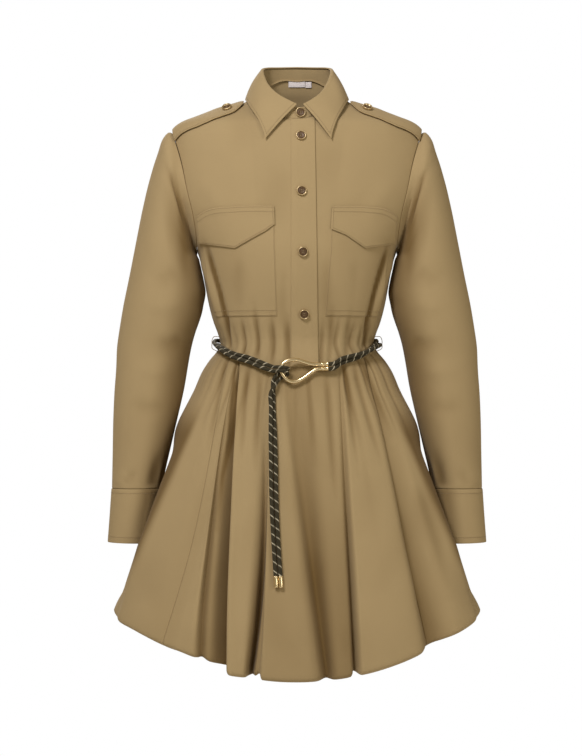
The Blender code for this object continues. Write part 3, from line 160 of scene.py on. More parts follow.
# Sections of an arm: x and z of the inner end, x and z of the outer end, half depth, forward.
SLEEVE_SECTIONS = (
    (150.6, -228, 191.5, -45, 54, 1), (150.2, -232, 199, -53.5, 59, 2),
    (148, -240, 210, -80, 62, 3), (145.5, -251, 221, -116, 63, 3),
    (142.2, -266, 231, -158, 62, 3), (139.3, -284, 240, -203, 61, 3),
    (141, -308, 250, -254, 60, 2), (151.5, -346, 261, -308, 58, 1),
    (161.5, -388, 269, -362, 55, 0), (170, -432, 273, -418, 52, 0),
    (181.5, -482, 275.5, -474, 48, 0), (192.5, -530, 276.5, -528, 43, 0),
    (202.5, -577, 277.5, -577, 38, 0),
)
CUFF_SECTIONS = (
    (201.7, -577.3, 278.3, -577.3, 39, 0), (206.5, -618, 281, -617.5, 38.5, 0),
    (212, -659, 284, -657.5, 37.5, 0),
)
SLEEVE_CREASES = (  # share along, degrees round, length, width, depth
    (0.13, 100, 0.1, 32, -4), (0.2, 60, 0.1, 28, 2.5), (0.46, 200, 0.1, 50, -2.5),
    (0.95, 130, 0.06, 14, -3), (0.95, 165, 0.06, 14, -3), (0.95, 148, 0.05, 7, 1.6),
    (0.62, 330, 0.05, 40, -1.6), (0.56, 320, 0.04, 46, 1.4), (0.4, 150, 0.07, 40, 1.8),
)

CUFF_LAP = 128  # degrees round the cuff, where the lap's edge lies
POCKET_SHARES = {"right": (0.165, 0.93), "left": (0.365, 0.93)}
POCKET_TOP, POCKET_BOTTOM = -171.0, -322.0
POCKET_LIFT, FLAP_LIFT = 0.95, 2.9  # of the outer face above the front
FLAPS = {  # share of the front's width, top and bottom
    "right": (
        (0.165, -161, -188), (0.26, -160.5, -198), (0.58, -161, -222), (0.86, -166, -215),
        (0.965, -174, -212),
    ),
    "left": (
        (0.365, -161, -195), (0.50, -160.5, -203), (0.68, -161, -222), (0.88, -166, -216),
        (0.965, -174, -212),
    ),
}
EPAULETTE = (  # share of the length, front edge and back edge
    (0, 25, 13), (0.06, 38, 5), (0.12, 47.5, 1), (0.2, 52, -0.5),
    (0.37, 56, -1), (0.54, 57.5, -1.5), (0.69, 55, -2.5), (0.82, 49.5, -4.5),
    (0.925, 44, -6.5), (1, 41, -7.5),
)
EPAULETTE_NECK_X = 79.0
EPAULETTE_BOW = (4.5, 40.5)  # shorter by this towards the front, at this reach
EPAULETTE_BUTTON = (103.0, 33.0)
COLLAR_COLUMNS = ("theta", "fold_z", "fold_x", "fold_y", "edge_x", "edge_y", "edge_z")
COLLAR = (
    (0, -9.5, 5, -74.5, 48.5, -92, -61), (10, -5.5, 13, -71.5, 50, -90, -53),
    (28, 6, 30, -59, 57, -81, -34), (50, 23, 44, -38, 67, -60, -16),
    (72, 40, 51, -17, 74, -36, -3), (95, 50, 52, 5, 78, -5, 5), (120, 55, 46, 27, 73, 30, 9),
    (150, 57, 27, 41, 48, 58, 14), (180, 58, 0, 46, 0, 70, 16),
)
COLLAR_SHIFT = 4.2
ROLL_REACH = 2.6
ROLL_RISE = 1.6
LEAF_BELLY = 1.5
STAND_ENDS = (-368, 18)  # degrees round the neck, covered left end and buttoned end
STAND_COVERED = -325.0  # where the covered end starts to go under
STAND_TUCK = 2.2
BUTTONS = (
    ("button_collar", 5.3, -21.0), ("button_1", 5.6, -57.0), ("button_2", 6.6, -139.0),
    ("button_3", 8.6, -228.0), ("button_4", 10.4, -318.0),
)
COLLAR_BUTTON_Y = -75.5
TAPE_DEPTH = 2.6  # inside the back's outer face
TAPES = (  # left, right, top and bottom inside the back neck
    ("neck_label", -13.0, 12.5, 39.0, 30.0), ("size_tab", 13.2, 22.5, 37.5, 29.0),
)

BELT = (  # bearing in degrees and height
    (0, -400), (15, -397), (20, -394), (26, -388.5), (44, -379), (77, -362), (90, -359.5),
    (135, -363), (180, -366),
)
BELT_REACH = (21.0, 342.0)  # bearings of the ferrules' end and of the hook's far end
STRAND_APART = 6.7
STRAND_REST = 3.4
HALF_TURNS = 5  # of the two strands round each other
HOOK_LIFT = (6.0, 19.0, 13.0)  # strands stand off by this, up to a bearing, gone after more
FERRULE = (3.2, 10.0)
FERRULE_START = (35.3, -105.2)
FERRULE_HEIGHTS = (-391.8, -398.6)
BUCKLE_TUBE = 2.5
BUCKLE_ROUTE = (
    (34.8, -391.8), (31, -391.8), (26.1, -392.2), (17.3, -390.7), (8.5, -387.9), (1.2, -385.6),
    (-6.9, -385.2), (-14.8, -387.1), (-20.7, -391.3), (-23.6, -398.6), (-21.5, -405.9),
    (-15.6, -413.7), (-6.9, -417.4), (1.2, -416.3), (8.5, -412.4), (17.3, -406.1), (25.6, -400.5),
    (31, -398.7), (34.8, -398.6),
)
BUCKLE_MIDDLE = (35.0, -105.2, -395.0)
BUCKLE_LEAN = (0.0956, 0.05)
HITCH_FIRST = (  # x, y, z and share of the radius, round the hook's closed end
    (-34, -107.5, -396, 0.87), (-28.5, -114.3, -395.9, 0.84), (-22.5, -116.6, -396, 0.83),
    (-16.8, -115.5, -396.8, 0.83), (-13, -111.2, -398, 0.83), (-14.8, -106.6, -400.4, 0.83),
    (-24.5, -105.3, -403.4, 0.83), (-31, -105.5, -408.8, 0.85), (-34.6, -106.9, -415, 0.9),
    (-35.6, -108.8, -422, 0.94),
)
HITCH_SECOND = (
    (-34.5, -107.5, -401.9, 0.87), (-28.5, -114.3, -401.3, 0.84), (-22.8, -116.7, -401.3, 0.83),
    (-17.6, -115.4, -402.2, 0.83), (-14.4, -111.4, -404.2, 0.83), (-13.8, -107.2, -407.2, 0.83),
    (-19.5, -105.5, -410.4, 0.83), (-26, -106.3, -413.6, 0.84), (-30, -111.8, -418.6, 0.87),
    (-33.4, -116, -424.5, 0.92),
)
HANGING = (  # height, first cord's x, second's x, how far ahead it lies
    (-432, -34.8, -37.6, 6.6), (-456, -34.2, -38, 5.9), (-490, -32.4, -38.6, 4),
    (-527, -31.2, -38.2, 1), (-570, -30.4, -37.6, 0), (-610, -29.2, -36.2, 0),
    (-655, -26.8, -33.8, 0), (-696.5, -24, -31, 0),
)
TIP = (3.15, 16.5)
CARRIER_ENDS = (-350.0, -372.0)
CHAIN_PITCH = 1.7
CARRIER_ROUTE = ((125.2, -350.6), (127.3, -355.0), (127.6, -361.0), (127.4, -367.0))

# Creases, each as depth (a ridge is positive), width to the left and to the right looking along
# the route, and the route as (x, z) seen from the camera. Front ones lie on cloth that faces the
# front, back ones on the rest. x is negative on the wearer's right.
FRONT_CREASES = (
    # the pulled edge beside each pocket, and the trough inside it
    (4.5, 4.5, 4, ((-144, -213), (-138, -245), (-126.5, -281), (-118, -317), (-112, -350))),
    (-6, 2.4, 4.6, ((-136, -208), (-125, -246), (-115, -281), (-107, -314), (-96, -392))),
    (4.5, 4, 4.5, ((144, -213), (138, -245), (126.5, -281), (118, -317), (112, -350))),
    (-6, 4.6, 2.4, ((136, -208), (125, -246), (115, -281), (107, -314), (96, -392))),
    # gathers above the belt
    (-2, 4, 5, ((-82, -318), (-80, -360), (-77, -425))),
    (-2.3, 4, 5, ((-64, -300), (-59, -350), (-57, -430))),
    (-1.6, 5, 4, ((-38, -315), (-36, -360), (-35, -435))),
    (-2.2, 3, 5, ((-14, -318), (-12, -365), (-11, -445))),
    (-2.2, 5, 3, ((39, -325), (36, -370), (34, -445))),
    (-2.2, 4, 5, ((54, -306), (50, -360), (48, -435))),
    (-2.2, 5, 4, ((80, -312), (75, -355), (72, -425))),
    # soft pulls from the armhole
    (1.3, 14, 14, ((-146, -110), (-120, -150), (-98, -196))),
    (1.3, 14, 14, ((146, -112), (122, -148), (100, -190))),
    # faint upright waves on the pockets and chest
    (-0.5, 8, 8, ((-88, -228), (-86, -330))),
    (-0.5, 8, 8, ((86, -232), (84, -330))),
    (-0.6, 7, 7, ((-20, -235), (-22, -350))),
    (-0.6, 7, 7, ((44, -225), (47, -350))),
)
BACK_CREASES = (
    (-0.8, 12, 14, ((-150, -158), (-128, -136), (-80, -122))),
    (-0.8, 14, 12, ((150, -158), (128, -136), (80, -122))),
    (1.4, 14, 14, ((-140, -190), (-112, -170), (-80, -168))),
    (1.2, 14, 14, ((140, -186), (112, -168), (84, -170))),
    (-1.4, 7, 9, ((-120, -250), (-96, -300), (-84, -380))),
    (-1.4, 9, 7, ((114, -246), (92, -300), (80, -380))),
    (-1, 9, 9, ((-38, -250), (-42, -390))),
    (-1, 9, 9, ((30, -262), (36, -390))),
    (1.2, 12, 12, ((-4, -230), (-3, -340))),
)
SLEEVE_FRONT_CREASES = (  # the left sleeve, as are the next
    # the fold where the sleeve head turns under, beside the armhole
    (-6.5, 5, 17, ((196, -92), (186, -116), (174, -146), (164, -178), (154, -204))),
    (1.5, 9, 6, ((190, -82), (179, -110), (168, -140), (158, -172))),
    (-1.6, 12, 16, ((176, -250), (200, -262), (232, -262))),
    (1.6, 14, 12, ((168, -296), (200, -306), (236, -300))),
    (-1.8, 10, 14, ((168, -352), (192, -362), (222, -356))),
    (1.5, 14, 12, ((184, -398), (210, -404), (246, -396))),
    (-1.2, 12, 12, ((196, -452), (222, -458), (258, -450))),
    (1.3, 8, 10, ((270, -574), (262, -562), (252, -552))),
    (-1.2, 8, 8, ((262, -575), (250, -560), (238, -548))),
)
SLEEVE_BACK_CREASES = (
    (-4.0, 6, 14, ((190, -100), (180, -130), (170, -165), (160, -198))),
    (-2.2, 10, 16, ((186, -330), (214, -346), (250, -342))),
    (2.0, 14, 12, ((180, -366), (212, -382), (252, -372))),
    (-1.8, 12, 12, ((196, -410), (222, -420), (256, -412))),
    (1.2, 12, 12, ((206, -480), (232, -486), (262, -480))),
)
SKIRT_CREASES = (
    (-2.4, 4, 4, ((-104, -372), (-112, -410), (-136, -520))),
    (-5, 5, 3, ((-92, -376), (-98, -440), (-104, -504), (-114, -560), (-121, -640))),
    (-2.4, 4, 4, ((-75, -380), (-77, -420), (-84, -545))),
    (-2.4, 4, 4, ((-57, -384), (-58, -425), (-63, -550))),
    (-1.4, 4, 5, ((16, -392), (19, -430), (28, -540))),
    (-2.2, 6, 4, ((42, -388), (46, -430), (57, -600))),
    (-2.6, 4, 4, ((70, -382), (75, -425), (92, -560))),
    (-2.6, 4, 5, ((84, -378), (91, -415), (126, -540))),
    (-3, 3, 6, ((100, -374), (110, -410), (146, -500))),
    (2, 8, 8, ((-86, -600), (-100, -700), (-104, -820))),
    (-2, 7, 9, ((176, -560), (206, -660), (226, -740))),
)
SIDE_SHADE = (139.0, -466.0, 0.38)  # corner beside the sleeve: x, z, and x gained per fall
PRESSED = (-222.0, -306.0, 2.5)  # sleeve pressed towards the bodice: top, foot and amount
PUFFED = (0.022, 0.025, 1.8)  # fuller sleeve head: share along, its reach and amount
CAMERA_X, CAMERA_DISTANCE, CAMERA_Z = -9.0, 4000.0, -412.0
FRAME_HEIGHT = 1134.0  # seen height at the shoulders' plane

SIDES = ((-1, "right"), (1, "left"))
WALLS = {  # thickness of the pieces made of more than one layer
    "placket": 1.1, "pocket": 0.7, "flap": 1.2, "epaulette": 1.6, "collar_stand": 1.2,
    "collar_leaf": 1.3, "cuff": 1.5, "tape": 0.5,
}
SEAM_SHADE, EDGE_SHADE = 0.8, 0.9  # painted shade along the armhole and side seams, and along the placket's free edge
EDGE_WIDTH = 1.8
TUCK_ON, TUCK_IN = 1.3, 1.9
FULL_SHADE_DEPTH = 3.6  # depth of a crease that gets the full painted shade
FAR_FROM_SEWING = 9.0
FINE_EDGE = (0, 0.6, 1.3, 2.4)  # grid lines inside an edge, through its row of stitches
STRAP_EDGE = (0, 0.6, 1.3, 2.6)
SEAM_EDGE = (0, 0.7, 1.5, 2.2)
TAPE_EDGE = (0, 0.5, 1.1)


# ---- settings in the sidebar
class DressSizes(bpy.types.PropertyGroup):
    """Sizes that change how the cloth and sewing look, not the dress's own measurements."""
    cloth: bpy.props.FloatProperty(
        name="Cloth", description="Thickness of one layer of cloth", default=0.0008,
        min=0.0004, max=0.0012, unit="LENGTH")
    gathers: bpy.props.FloatProperty(
        name="Gathers", description="Depth of the gathers at the waist", default=0.0026,
        min=0.0, max=0.006, unit="LENGTH")
    stitch: bpy.props.FloatProperty(
        name="Stitch", description="Length of one stitch with its gap", default=0.0034,
        min=0.002, max=0.006, unit="LENGTH")
    fleck_pitch: bpy.props.FloatProperty(
        name="Fleck pitch", description="Distance between the pale flecks along a cord",
        default=0.0135, min=0.008, max=0.03, unit="LENGTH")


def colour(name, description, default):
    return bpy.props.FloatVectorProperty(
        name=name, description=description, default=default, size=3, min=0.0, max=1.0,
        subtype="COLOR")


class DressColours(bpy.types.PropertyGroup):
    """Colours of the finishes."""
    cotton: colour("Cotton", "Khaki cotton of every panel", (0.388, 0.285, 0.141))
    # painted shade: the colour the cotton is darkened towards in its seams, creases, gathers and
    # shaded sides
    shade: colour("Cotton shade", "Cotton in its seams and hollows", (0.112, 0.058, 0.008))
    sewing: colour("Sewing", "Top-stitching thread", (0.33, 0.24, 0.12))
    cord: colour("Cord", "Dark yarns of the rope", (0.044, 0.036, 0.017))
    fleck: colour("Fleck", "Pale yarn of the rope", (0.62, 0.56, 0.40))
    gold: colour("Gold", "Hook, ferrules and cord tips", (0.86, 0.70, 0.42))
    rim: colour("Button rim", "Bronze ring of a button", (0.58, 0.45, 0.25))
    dish: colour("Button dish", "Sunken middle of a button", (0.085, 0.046, 0.018))
    tape: colour("Label tape", "Woven label tape", (0.93, 0.87, 0.85))


def sizes():
    return bpy.context.scene.dress_sizes


def colours():
    return bpy.context.scene.dress_colours


# ---- curves and sections
def spline(knots, values, at):
    """Smooth curve through values at increasing knots (Hermite), straight beyond both ends."""
    knots = np.asarray(knots, float)
    values = np.asarray(values, float)
    at = np.asarray(at, float)
    shape = (-1,) + (1,) * (values.ndim - 1)
    step = np.diff(knots)
    rise = np.diff(values, axis=0) / step.reshape(shape)
    slope = np.empty_like(values)
    slope[0] = rise[0]
    slope[-1] = rise[-1]
    weight = (step[:-1] / (step[:-1] + step[1:])).reshape(shape)
    slope[1:-1] = rise[:-1] * (1 - weight) + rise[1:] * weight
    held = np.clip(at, knots[0], knots[-1])
    k = np.clip(np.searchsorted(knots, held, side="right") - 1, 0, len(knots) - 2)
    wide = at.shape + (1,) * (values.ndim - 1)
    t = ((held - knots[k]) / step[k]).reshape(wide)
    span = step[k].reshape(wide)
    curve = (
        values[k] * (1 + 2 * t) * (1 - t) ** 2
        + slope[k] * span * t * (1 - t) ** 2
        + values[k + 1] * t ** 2 * (3 - 2 * t)
        - slope[k + 1] * span * t ** 2 * (1 - t)
    )
    beyond = (at - held).reshape(wide)
    return curve + beyond * np.where(beyond < 0, slope[0], slope[-1])


def read_column(table, columns, name, at):
    """Value of one named column of a table whose first column is a falling height."""
    rows = np.asarray(table, float)[::-1]
    return spline(rows[:, 0], rows[:, columns.index(name)], at)


def section(name, z):
    return read_column(SECTIONS, SECTION_COLUMNS, name, z)


def smooth_step(value):
    value = np.clip(value, 0.0, 1.0)
    return value * value * (3 - 2 * value)


def read_along(at, run, points):
    """Points of a line at the given distances, read from those at the distances run."""
    return np.stack([np.interp(at, run, values) for values in points.T], axis=-1)


def signed(degrees):
    """The same bearing between -180 and 180 degrees."""
    return (degrees + 180) % 360 - 180


def unit(vectors):
    return vectors / np.linalg.norm(vectors, axis=-1, keepdims=True)


def lengths_along(points):
    """Distance of each point of a line from its start."""
    steps = np.linalg.norm(np.diff(points[:, :3], axis=0), axis=1)
    return np.concatenate(((0.0,), np.cumsum(steps)))


def from_placket(psi):
    """Angle round the body between psi and the middle of the placket."""
    return np.abs(np.arctan2(np.sin(psi - PLACKET_BEARING), np.cos(psi - PLACKET_BEARING)))


def waist_gathers(psi):
    """Uneven gathers round the waist: narrow valleys between broad ridges, none under the placket
    and few at the side seams. Wave = share of ridge less a bell curve at each valley."""
    here = 0.25 + 0.75 * smooth_step((from_placket(psi) - 0.20) / 0.12)
    here = here * smooth_step(np.abs(np.cos(psi)) / 0.3)
    phase = 17.0 * psi + 1.1 * np.sin(3.0 * psi + 0.4) + 0.8 * np.sin(7.0 * psi)
    valley = np.exp(-(np.sin(phase) / 0.42) ** 2)
    size = 0.62 + 0.38 * np.sin(5.0 * psi + 1.3) * np.cos(3.0 * psi)
    second = np.exp(-(np.sin(11.0 * psi + 0.7) / 0.3) ** 2) * 0.45
    return sizes().gathers / MM * here * (0.3 - size * valley - second)


def gathers_grow(z):
    """Share of the gathers' depth on the bodice: none above their start, all of it by the waist."""
    return smooth_step((GATHERS_START - z) / GATHERS_FADE) ** 1.5


def plan_normal(psi, half, depth):
    """Level outward direction at psi of a section of this half width and depth."""
    return unit(np.stack((np.sin(psi) / half, -np.cos(psi) / depth), axis=-1))


def form_point(psi, z, lift=0.0, gathers=True):
    """Point of the body: x = half_width sin(psi), y from the superellipse of its height, moved out
    level by lift and by the gathers, which die out above the waist."""
    psi, z = np.broadcast_arrays(np.asarray(psi, float), np.asarray(z, float))
    half = section("half_width", z)
    depth = np.where(np.cos(psi) > 0, section("front", z), section("back", z))
    power = section("squareness", z)
    share = np.clip(np.abs(np.sin(psi)), 0, 1)
    y = -np.sign(np.cos(psi)) * depth * (1 - share ** power) ** (1 / power)
    x = half * np.sin(psi)
    plan = plan_normal(psi, half, depth)
    out = lift
    if gathers:
        out = lift + waist_gathers(psi) * gathers_grow(z)
    return np.stack((x + plan[..., 0] * out, y + plan[..., 1] * out, z), axis=-1)


def form_normal(psi, z):
    """Outward unit normal of the smooth body, from small steps round and down the surface."""
    turn = 0.004
    drop = 0.4
    across = form_point(psi + turn, z, 0, False) - form_point(psi - turn, z, 0, False)
    upward = form_point(psi, z + drop, 0, False) - form_point(psi, z - drop, 0, False)
    return unit(np.cross(across, upward))


def angle_at(x, z, back=False):
    """psi of the point at x on the front (or back) of the bodice at height z."""
    share = np.clip(x / section("half_width", z), -0.999999, 0.999999)
    psi = np.arcsin(share)
    return np.pi - psi if back else psi


def waist_height(psi):
    dip = np.where(np.cos(psi) > 0, WAIST_FRONT_DIP, WAIST_BACK_DIP)
    return WAIST_Z - dip * np.abs(np.cos(psi)) ** 2.0


def crease_field(x, z, y, creases):
    """Sum of the creases' heights at a point seen from the front: depth times a bell curve of the
    distance from the route, with its own width on each side, faded at both ends of the route, on
    a slow unevenness made of crossed sines."""
    scale = CAMERA_DISTANCE / (CAMERA_DISTANCE + y)
    x = CAMERA_X + (x - CAMERA_X) * scale
    z = CAMERA_Z + (z - CAMERA_Z) * scale
    total = 0.4 * np.sin(x / 19 + 0.8 * np.sin(z / 43)) * np.sin(z / 34 + 1.1 * np.sin(x / 37))
    for depth, left, right, route in creases:
        route = np.array(route, float)
        run = lengths_along(route)
        best = np.full(x.shape, 1e9)
        side = np.zeros_like(x)
        place = np.zeros_like(x)
        for (a, b, start, stop) in zip(route[:-1], route[1:], run[:-1], run[1:]):
            along = (b - a) / (stop - start)
            t = np.clip((x - a[0]) * along[0] + (z - a[1]) * along[1], 0, stop - start)
            dx = x - a[0] - along[0] * t
            dz = z - a[1] - along[1] * t
            away = np.hypot(dx, dz)
            nearer = away < best
            best = np.where(nearer, away, best)
            side = np.where(nearer, along[0] * dz - along[1] * dx, side)
            place = np.where(nearer, (start + t) / run[-1], place)
        width = np.where(side > 0, left, right)
        ends = smooth_step(place / 0.25) * smooth_step((1 - place) / 0.5)
        total += depth * (0.15 + 0.85 * ends) * np.exp(-(best / width) ** 2)
    return total


def body_creases(psi, base):
    """Height of the creases at points of the body. The front's table gives way to the back's
    where the body turns away at its sides."""
    x, y, z = np.moveaxis(base, -1, 0)
    front = smooth_step((np.cos(psi) - 0.02) / 0.15)
    return (front * crease_field(x, z, y, FRONT_CREASES)
            + (1 - front) * crease_field(x, z, y, BACK_CREASES))


def body_surface(psi, z, lift=0.0):
    """Cloth of the body at psi and z, with its gathers and creases, lift above the form."""
    base = form_point(psi, z)
    normal = form_normal(psi, z)
    return base + normal * (body_creases(psi, base) + lift)[..., None], normal


def hollows(psi, z):
    """Painted shade in the creases and between the gathers, from 0 to 0.9, by how deep the cloth
    lies.
    """
    crease = body_creases(psi, form_point(psi, z, gathers=False))
    return np.clip(-(crease + waist_gathers(psi) * gathers_grow(z)) / FULL_SHADE_DEPTH, 0, 0.9)


# ---- cloth
def grid_normals(points, closed=False):
    """Unit normals of a grid of points from the differences along its rows and columns."""
    if closed:
        across = np.roll(points, -1, axis=1) - np.roll(points, 1, axis=1)
    else:
        across = np.gradient(points, axis=1)
    return unit(np.cross(np.gradient(points, axis=0), across))


def reset_columns(grid, near, far, step):
    """The same surface with its columns at set distances from the first and last ones: near and
    far in millimetres, the rest evenly step apart."""
    steps = np.linalg.norm(np.diff(grid, axis=1), axis=-1)
    run = np.concatenate((np.zeros((len(grid), 1)), np.cumsum(steps, axis=1)), axis=1)
    near = np.array(near, float)
    far = np.array(far, float)[::-1]
    count = max(int(round((run[:, -1].mean() - near[-1] - far[0]) / step)), 2)
    even = np.linspace(0, 1, count + 1)[1:-1]
    rows = []
    for line, total, points in zip(run, run[:, -1], grid):
        inner = near[-1] + (total - near[-1] - far[0]) * even
        rows.append(read_along(np.concatenate((near, inner, total - far)), line, points))
    return np.stack(rows)


def reset_rows(grid, near, far, step):
    return np.swapaxes(reset_columns(np.swapaxes(grid, 0, 1), near, far, step), 0, 1)


def reset_grid(grid, columns, rows):
    """Resets the columns and then the rows, each as (near, far, step)."""
    return reset_rows(reset_columns(grid, *columns), *rows)


def front_facing(grid):
    """The grid's normals, turned towards the front."""
    normals = grid_normals(grid)
    return normals if normals[..., 1].sum() < 0 else -normals


def edge_distances(grid):
    """Distance of every point from the four edges, measured along its row or column."""
    across = np.linalg.norm(np.diff(grid, axis=1), axis=-1)
    across = np.concatenate((np.zeros((len(grid), 1)), np.cumsum(across, axis=1)), axis=1)
    down = np.linalg.norm(np.diff(grid, axis=0), axis=-1)
    down = np.concatenate((np.zeros((1, grid.shape[1])), np.cumsum(down, axis=0)), axis=0)
    return {
        "left": across, "right": across[:, -1:] - across, "top": down, "bottom": down[-1:] - down,
    }


def rolled(grid, normals, rolls):
    """Turns edges in: each named edge drops by its amount over the edge's width, as a parabola."""
    distances = edge_distances(grid)
    drop = np.zeros(grid.shape[:2])
    for edges, amount in rolls.items():
        for edge in edges.split():
            near = np.clip(1 - distances[edge] / EDGE_WIDTH, 0, 1)
            drop = np.maximum(drop, amount * near ** 2)
    return grid - normals * drop[..., None]


def tucked(edge, layer, normals=None):
    """Adds a row or column beyond an edge. Points go on and in by a tuck; other values repeat."""
    axis, near, inner = {"left": (1, 0, 1), "right": (1, -1, -2), "top": (0, 0, 1),
                         "bottom": (0, -1, -2)}[edge]
    line = np.take(layer, near, axis)
    if normals is not None:
        ahead = unit(line - np.take(layer, inner, axis))
        line = line + ahead * TUCK_ON - np.take(normals, near, axis) * TUCK_IN
    line = np.expand_dims(line, axis)
    return np.concatenate((line, layer) if near == 0 else (layer, line), axis)


def stitch_distance(distances, lines):
    """Distance from the nearest stitch line; a line lies so far inside the nearest of its edges."""
    nearest = np.full(distances["left"].shape, FAR_FROM_SEWING)
    for edges, inset in lines:
        inside = np.min([distances[edge] for edge in edges.split()], axis=0)
        nearest = np.minimum(nearest, np.abs(inside - inset))
    return nearest


def two_walls(grid, normals, thickness, closed):
    """Vertices and quads of a thin closed shell: the grid, the grid moved in, and its rims."""
    rows, columns = grid.shape[:2]
    inner = grid - normals * thickness
    vertices = np.concatenate((grid.reshape(-1, 3), inner.reshape(-1, 3)))
    base = rows * columns
    r, c = np.indices((rows - 1, columns if closed else columns - 1))
    after = (c + 1) % columns
    quad = np.stack((r * columns + c, (r + 1) * columns + c, (r + 1) * columns + after,
                     r * columns + after), axis=-1).reshape(-1, 4)
    parts = [quad, quad[:, ::-1] + base]
    c = np.arange(columns if closed else columns - 1)
    after = (c + 1) % columns
    last = (rows - 1) * columns
    parts.append(np.stack((c, after, after + base, c + base), axis=-1))
    parts.append(np.stack((last + after, last + c, last + c + base, last + after + base), axis=-1))
    if not closed:
        r = np.arange(rows - 1) * columns
        end = r + columns - 1
        parts.append(np.stack((r + columns, r, r + base, r + columns + base), axis=-1))
        parts.append(np.stack((end, end + columns, end + columns + base, end + base), axis=-1))
    return vertices, np.concatenate(parts)


def new_piece(name, vertices, faces, material, uv=None, attributes=None, sharp=180):
    """A mesh object at the origin from points in millimetres; uv and attributes are per vertex."""
    mesh = bpy.data.meshes.new(name)
    faces = faces if isinstance(faces, list) else faces.tolist()
    mesh.from_pydata((np.asarray(vertices) * MM).tolist(), [], faces)
    mesh.update()
    mesh.shade_smooth()
    if sharp < 180:
        mesh.set_sharp_from_angle(angle=math.radians(sharp))
    if uv is not None:
        layer = mesh.uv_layers.new(name="cloth")
        corner = np.empty(len(mesh.loops), dtype=np.int32)
        mesh.loops.foreach_get("vertex_index", corner)
        layer.data.foreach_set("uv", np.asarray(uv, np.float32)[corner].reshape(-1))
    for key, values in (attributes or {}).items():
        data = mesh.attributes.new(key, "FLOAT", "POINT")
        data.data.foreach_set("value", np.asarray(values, np.float32))
    piece = bpy.data.objects.new(name, mesh)
    bpy.context.scene.collection.objects.link(piece)
    for item in material if isinstance(material, (list, tuple)) else (material,):
        mesh.materials.append(item)
    return piece


def cloth(name, grid, outward, lines=(), rolls=None, closed=False, thickness=None, held="hung",
          rests_on=(), material=None, slot="cotton", tucks=(), painted_shade=None, stitches=()):
    """One panel: turns the grid to face out, rolls its edges, tucks some under their neighbours,
    gives it a wall, thread-aligned UVs in millimetres, its distance from the sewing and its painted
    shade, and sews its stitches, given as rows and columns of the grid.
    Its node is its name without the first word."""
    thickness = thickness or sizes().cloth / MM
    normals = grid_normals(grid, closed)
    way = -1 if np.sum(normals * outward) < 0 else 1
    from_sewing = stitch_distance(edge_distances(grid), lines)
    shaped = rolled(grid, normals * way, rolls or {})
    facing = grid_normals(shaped, closed) * way
    # painted shade of each point, carried to the mesh for the cotton's colour
    sunk_and_shaded = np.zeros(grid.shape[:2]) if painted_shade is None else painted_shade
    wide, deep = shaped, facing
    for edge in tucks:
        wide, deep, from_sewing, sunk_and_shaded = (tucked(edge, *layers) for layers in (
            (wide, deep), (deep,), (from_sewing,), (sunk_and_shaded,)))
    vertices, faces = two_walls(wide, deep, thickness, closed)
    distances = edge_distances(wide)
    across, down = distances["left"], distances["top"]
    uv = np.stack((across - across[:, -1:] / 2, down), axis=-1).reshape(-1, 2)
    edge = np.min([distances[key] for key in distances], axis=0).reshape(-1)
    piece = new_piece(
        name, vertices, faces[:, ::way], material or finish("cotton"), np.concatenate((uv, uv)),
        {"sewn": np.concatenate((from_sewing.reshape(-1), np.full(from_sewing.size, FAR_FROM_SEWING))),
         "edge": np.tile(edge, 2), "painted_shade": np.tile(sunk_and_shaded.reshape(-1), 2)}, 60)
    hold(piece, name.split("_", 1)[1])
    for pick in stitches:
        sew(shaped[pick], facing[pick])
    return shaped, facing


def hold(piece, node):
    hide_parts(node)
    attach(piece, "root")
    return piece


# ---- sewing
SEWING = []
STITCH_SHARE = 0.78  # of the pitch; the rest is the gap
STITCH_SECTION = (0.30, 0.17)  # half width and half height
STITCH_LIFT = 0.12


def sew(points, normals):
    """Keeps a line of stitches along a row of surface points for the sewing piece."""
    SEWING.append((points + normals * STITCH_LIFT, normals))


def stitch_template():
    """One stitch: five rings of six points along a flat rounded bar, closed at both ends."""
    along = np.array((-0.5, -0.4, 0.0, 0.4, 0.5))
    size = np.array((0.25, 0.85, 1.0, 0.85, 0.25))
    turn = np.arange(6) * math.pi / 3
    ring = np.stack((np.cos(turn), np.sin(turn)), axis=-1)
    points = np.concatenate([
        np.column_stack((np.full(6, a), ring * s)) for a, s in zip(along, size)
    ])
    return points, ring_faces(5, 6)


def build_sewing():
    """All the stitches as one mesh: the template laid at even places along every kept line."""
    template, faces = stitch_template()
    pitch = sizes().stitch / MM
    vertices, polygons = [], []
    for points, normals in SEWING:
        run = lengths_along(points)
        count = int(run[-1] / pitch)
        if count < 1:
            continue
        middle = (np.arange(count) + 0.5) * run[-1] / count
        place = read_along(middle, run, points)
        normal = unit(read_along(middle, run, normals))
        along = unit(read_along(middle + 0.5, run, points) - read_along(middle - 0.5, run, points))
        side = unit(np.cross(normal, along))
        shape = template * np.array((run[-1] / count * STITCH_SHARE, *STITCH_SECTION))
        made = (place[:, None] + along[:, None] * shape[None, :, :1]
                + side[:, None] * shape[None, :, 1:2] + normal[:, None] * shape[None, :, 2:])
        start = sum(len(part) for part in vertices)
        vertices.append(made.reshape(-1, 3))
        for k in range(count):
            base = start + k * len(template)
            polygons += [tuple(base + index for index in face) for face in faces]
    piece = new_piece("sewing", np.concatenate(vertices), polygons, finish("sewing"))
    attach(piece, "root")
    return piece


# ---- shader maths
def arithmetic(operation, mirrored=False):
    """An operator of a wire and a number or another wire, mirrored for number first."""
    def made(wire, other):
        values = (other, wire) if mirrored else (wire, other)
        return wire.math(operation, *values)
    return made


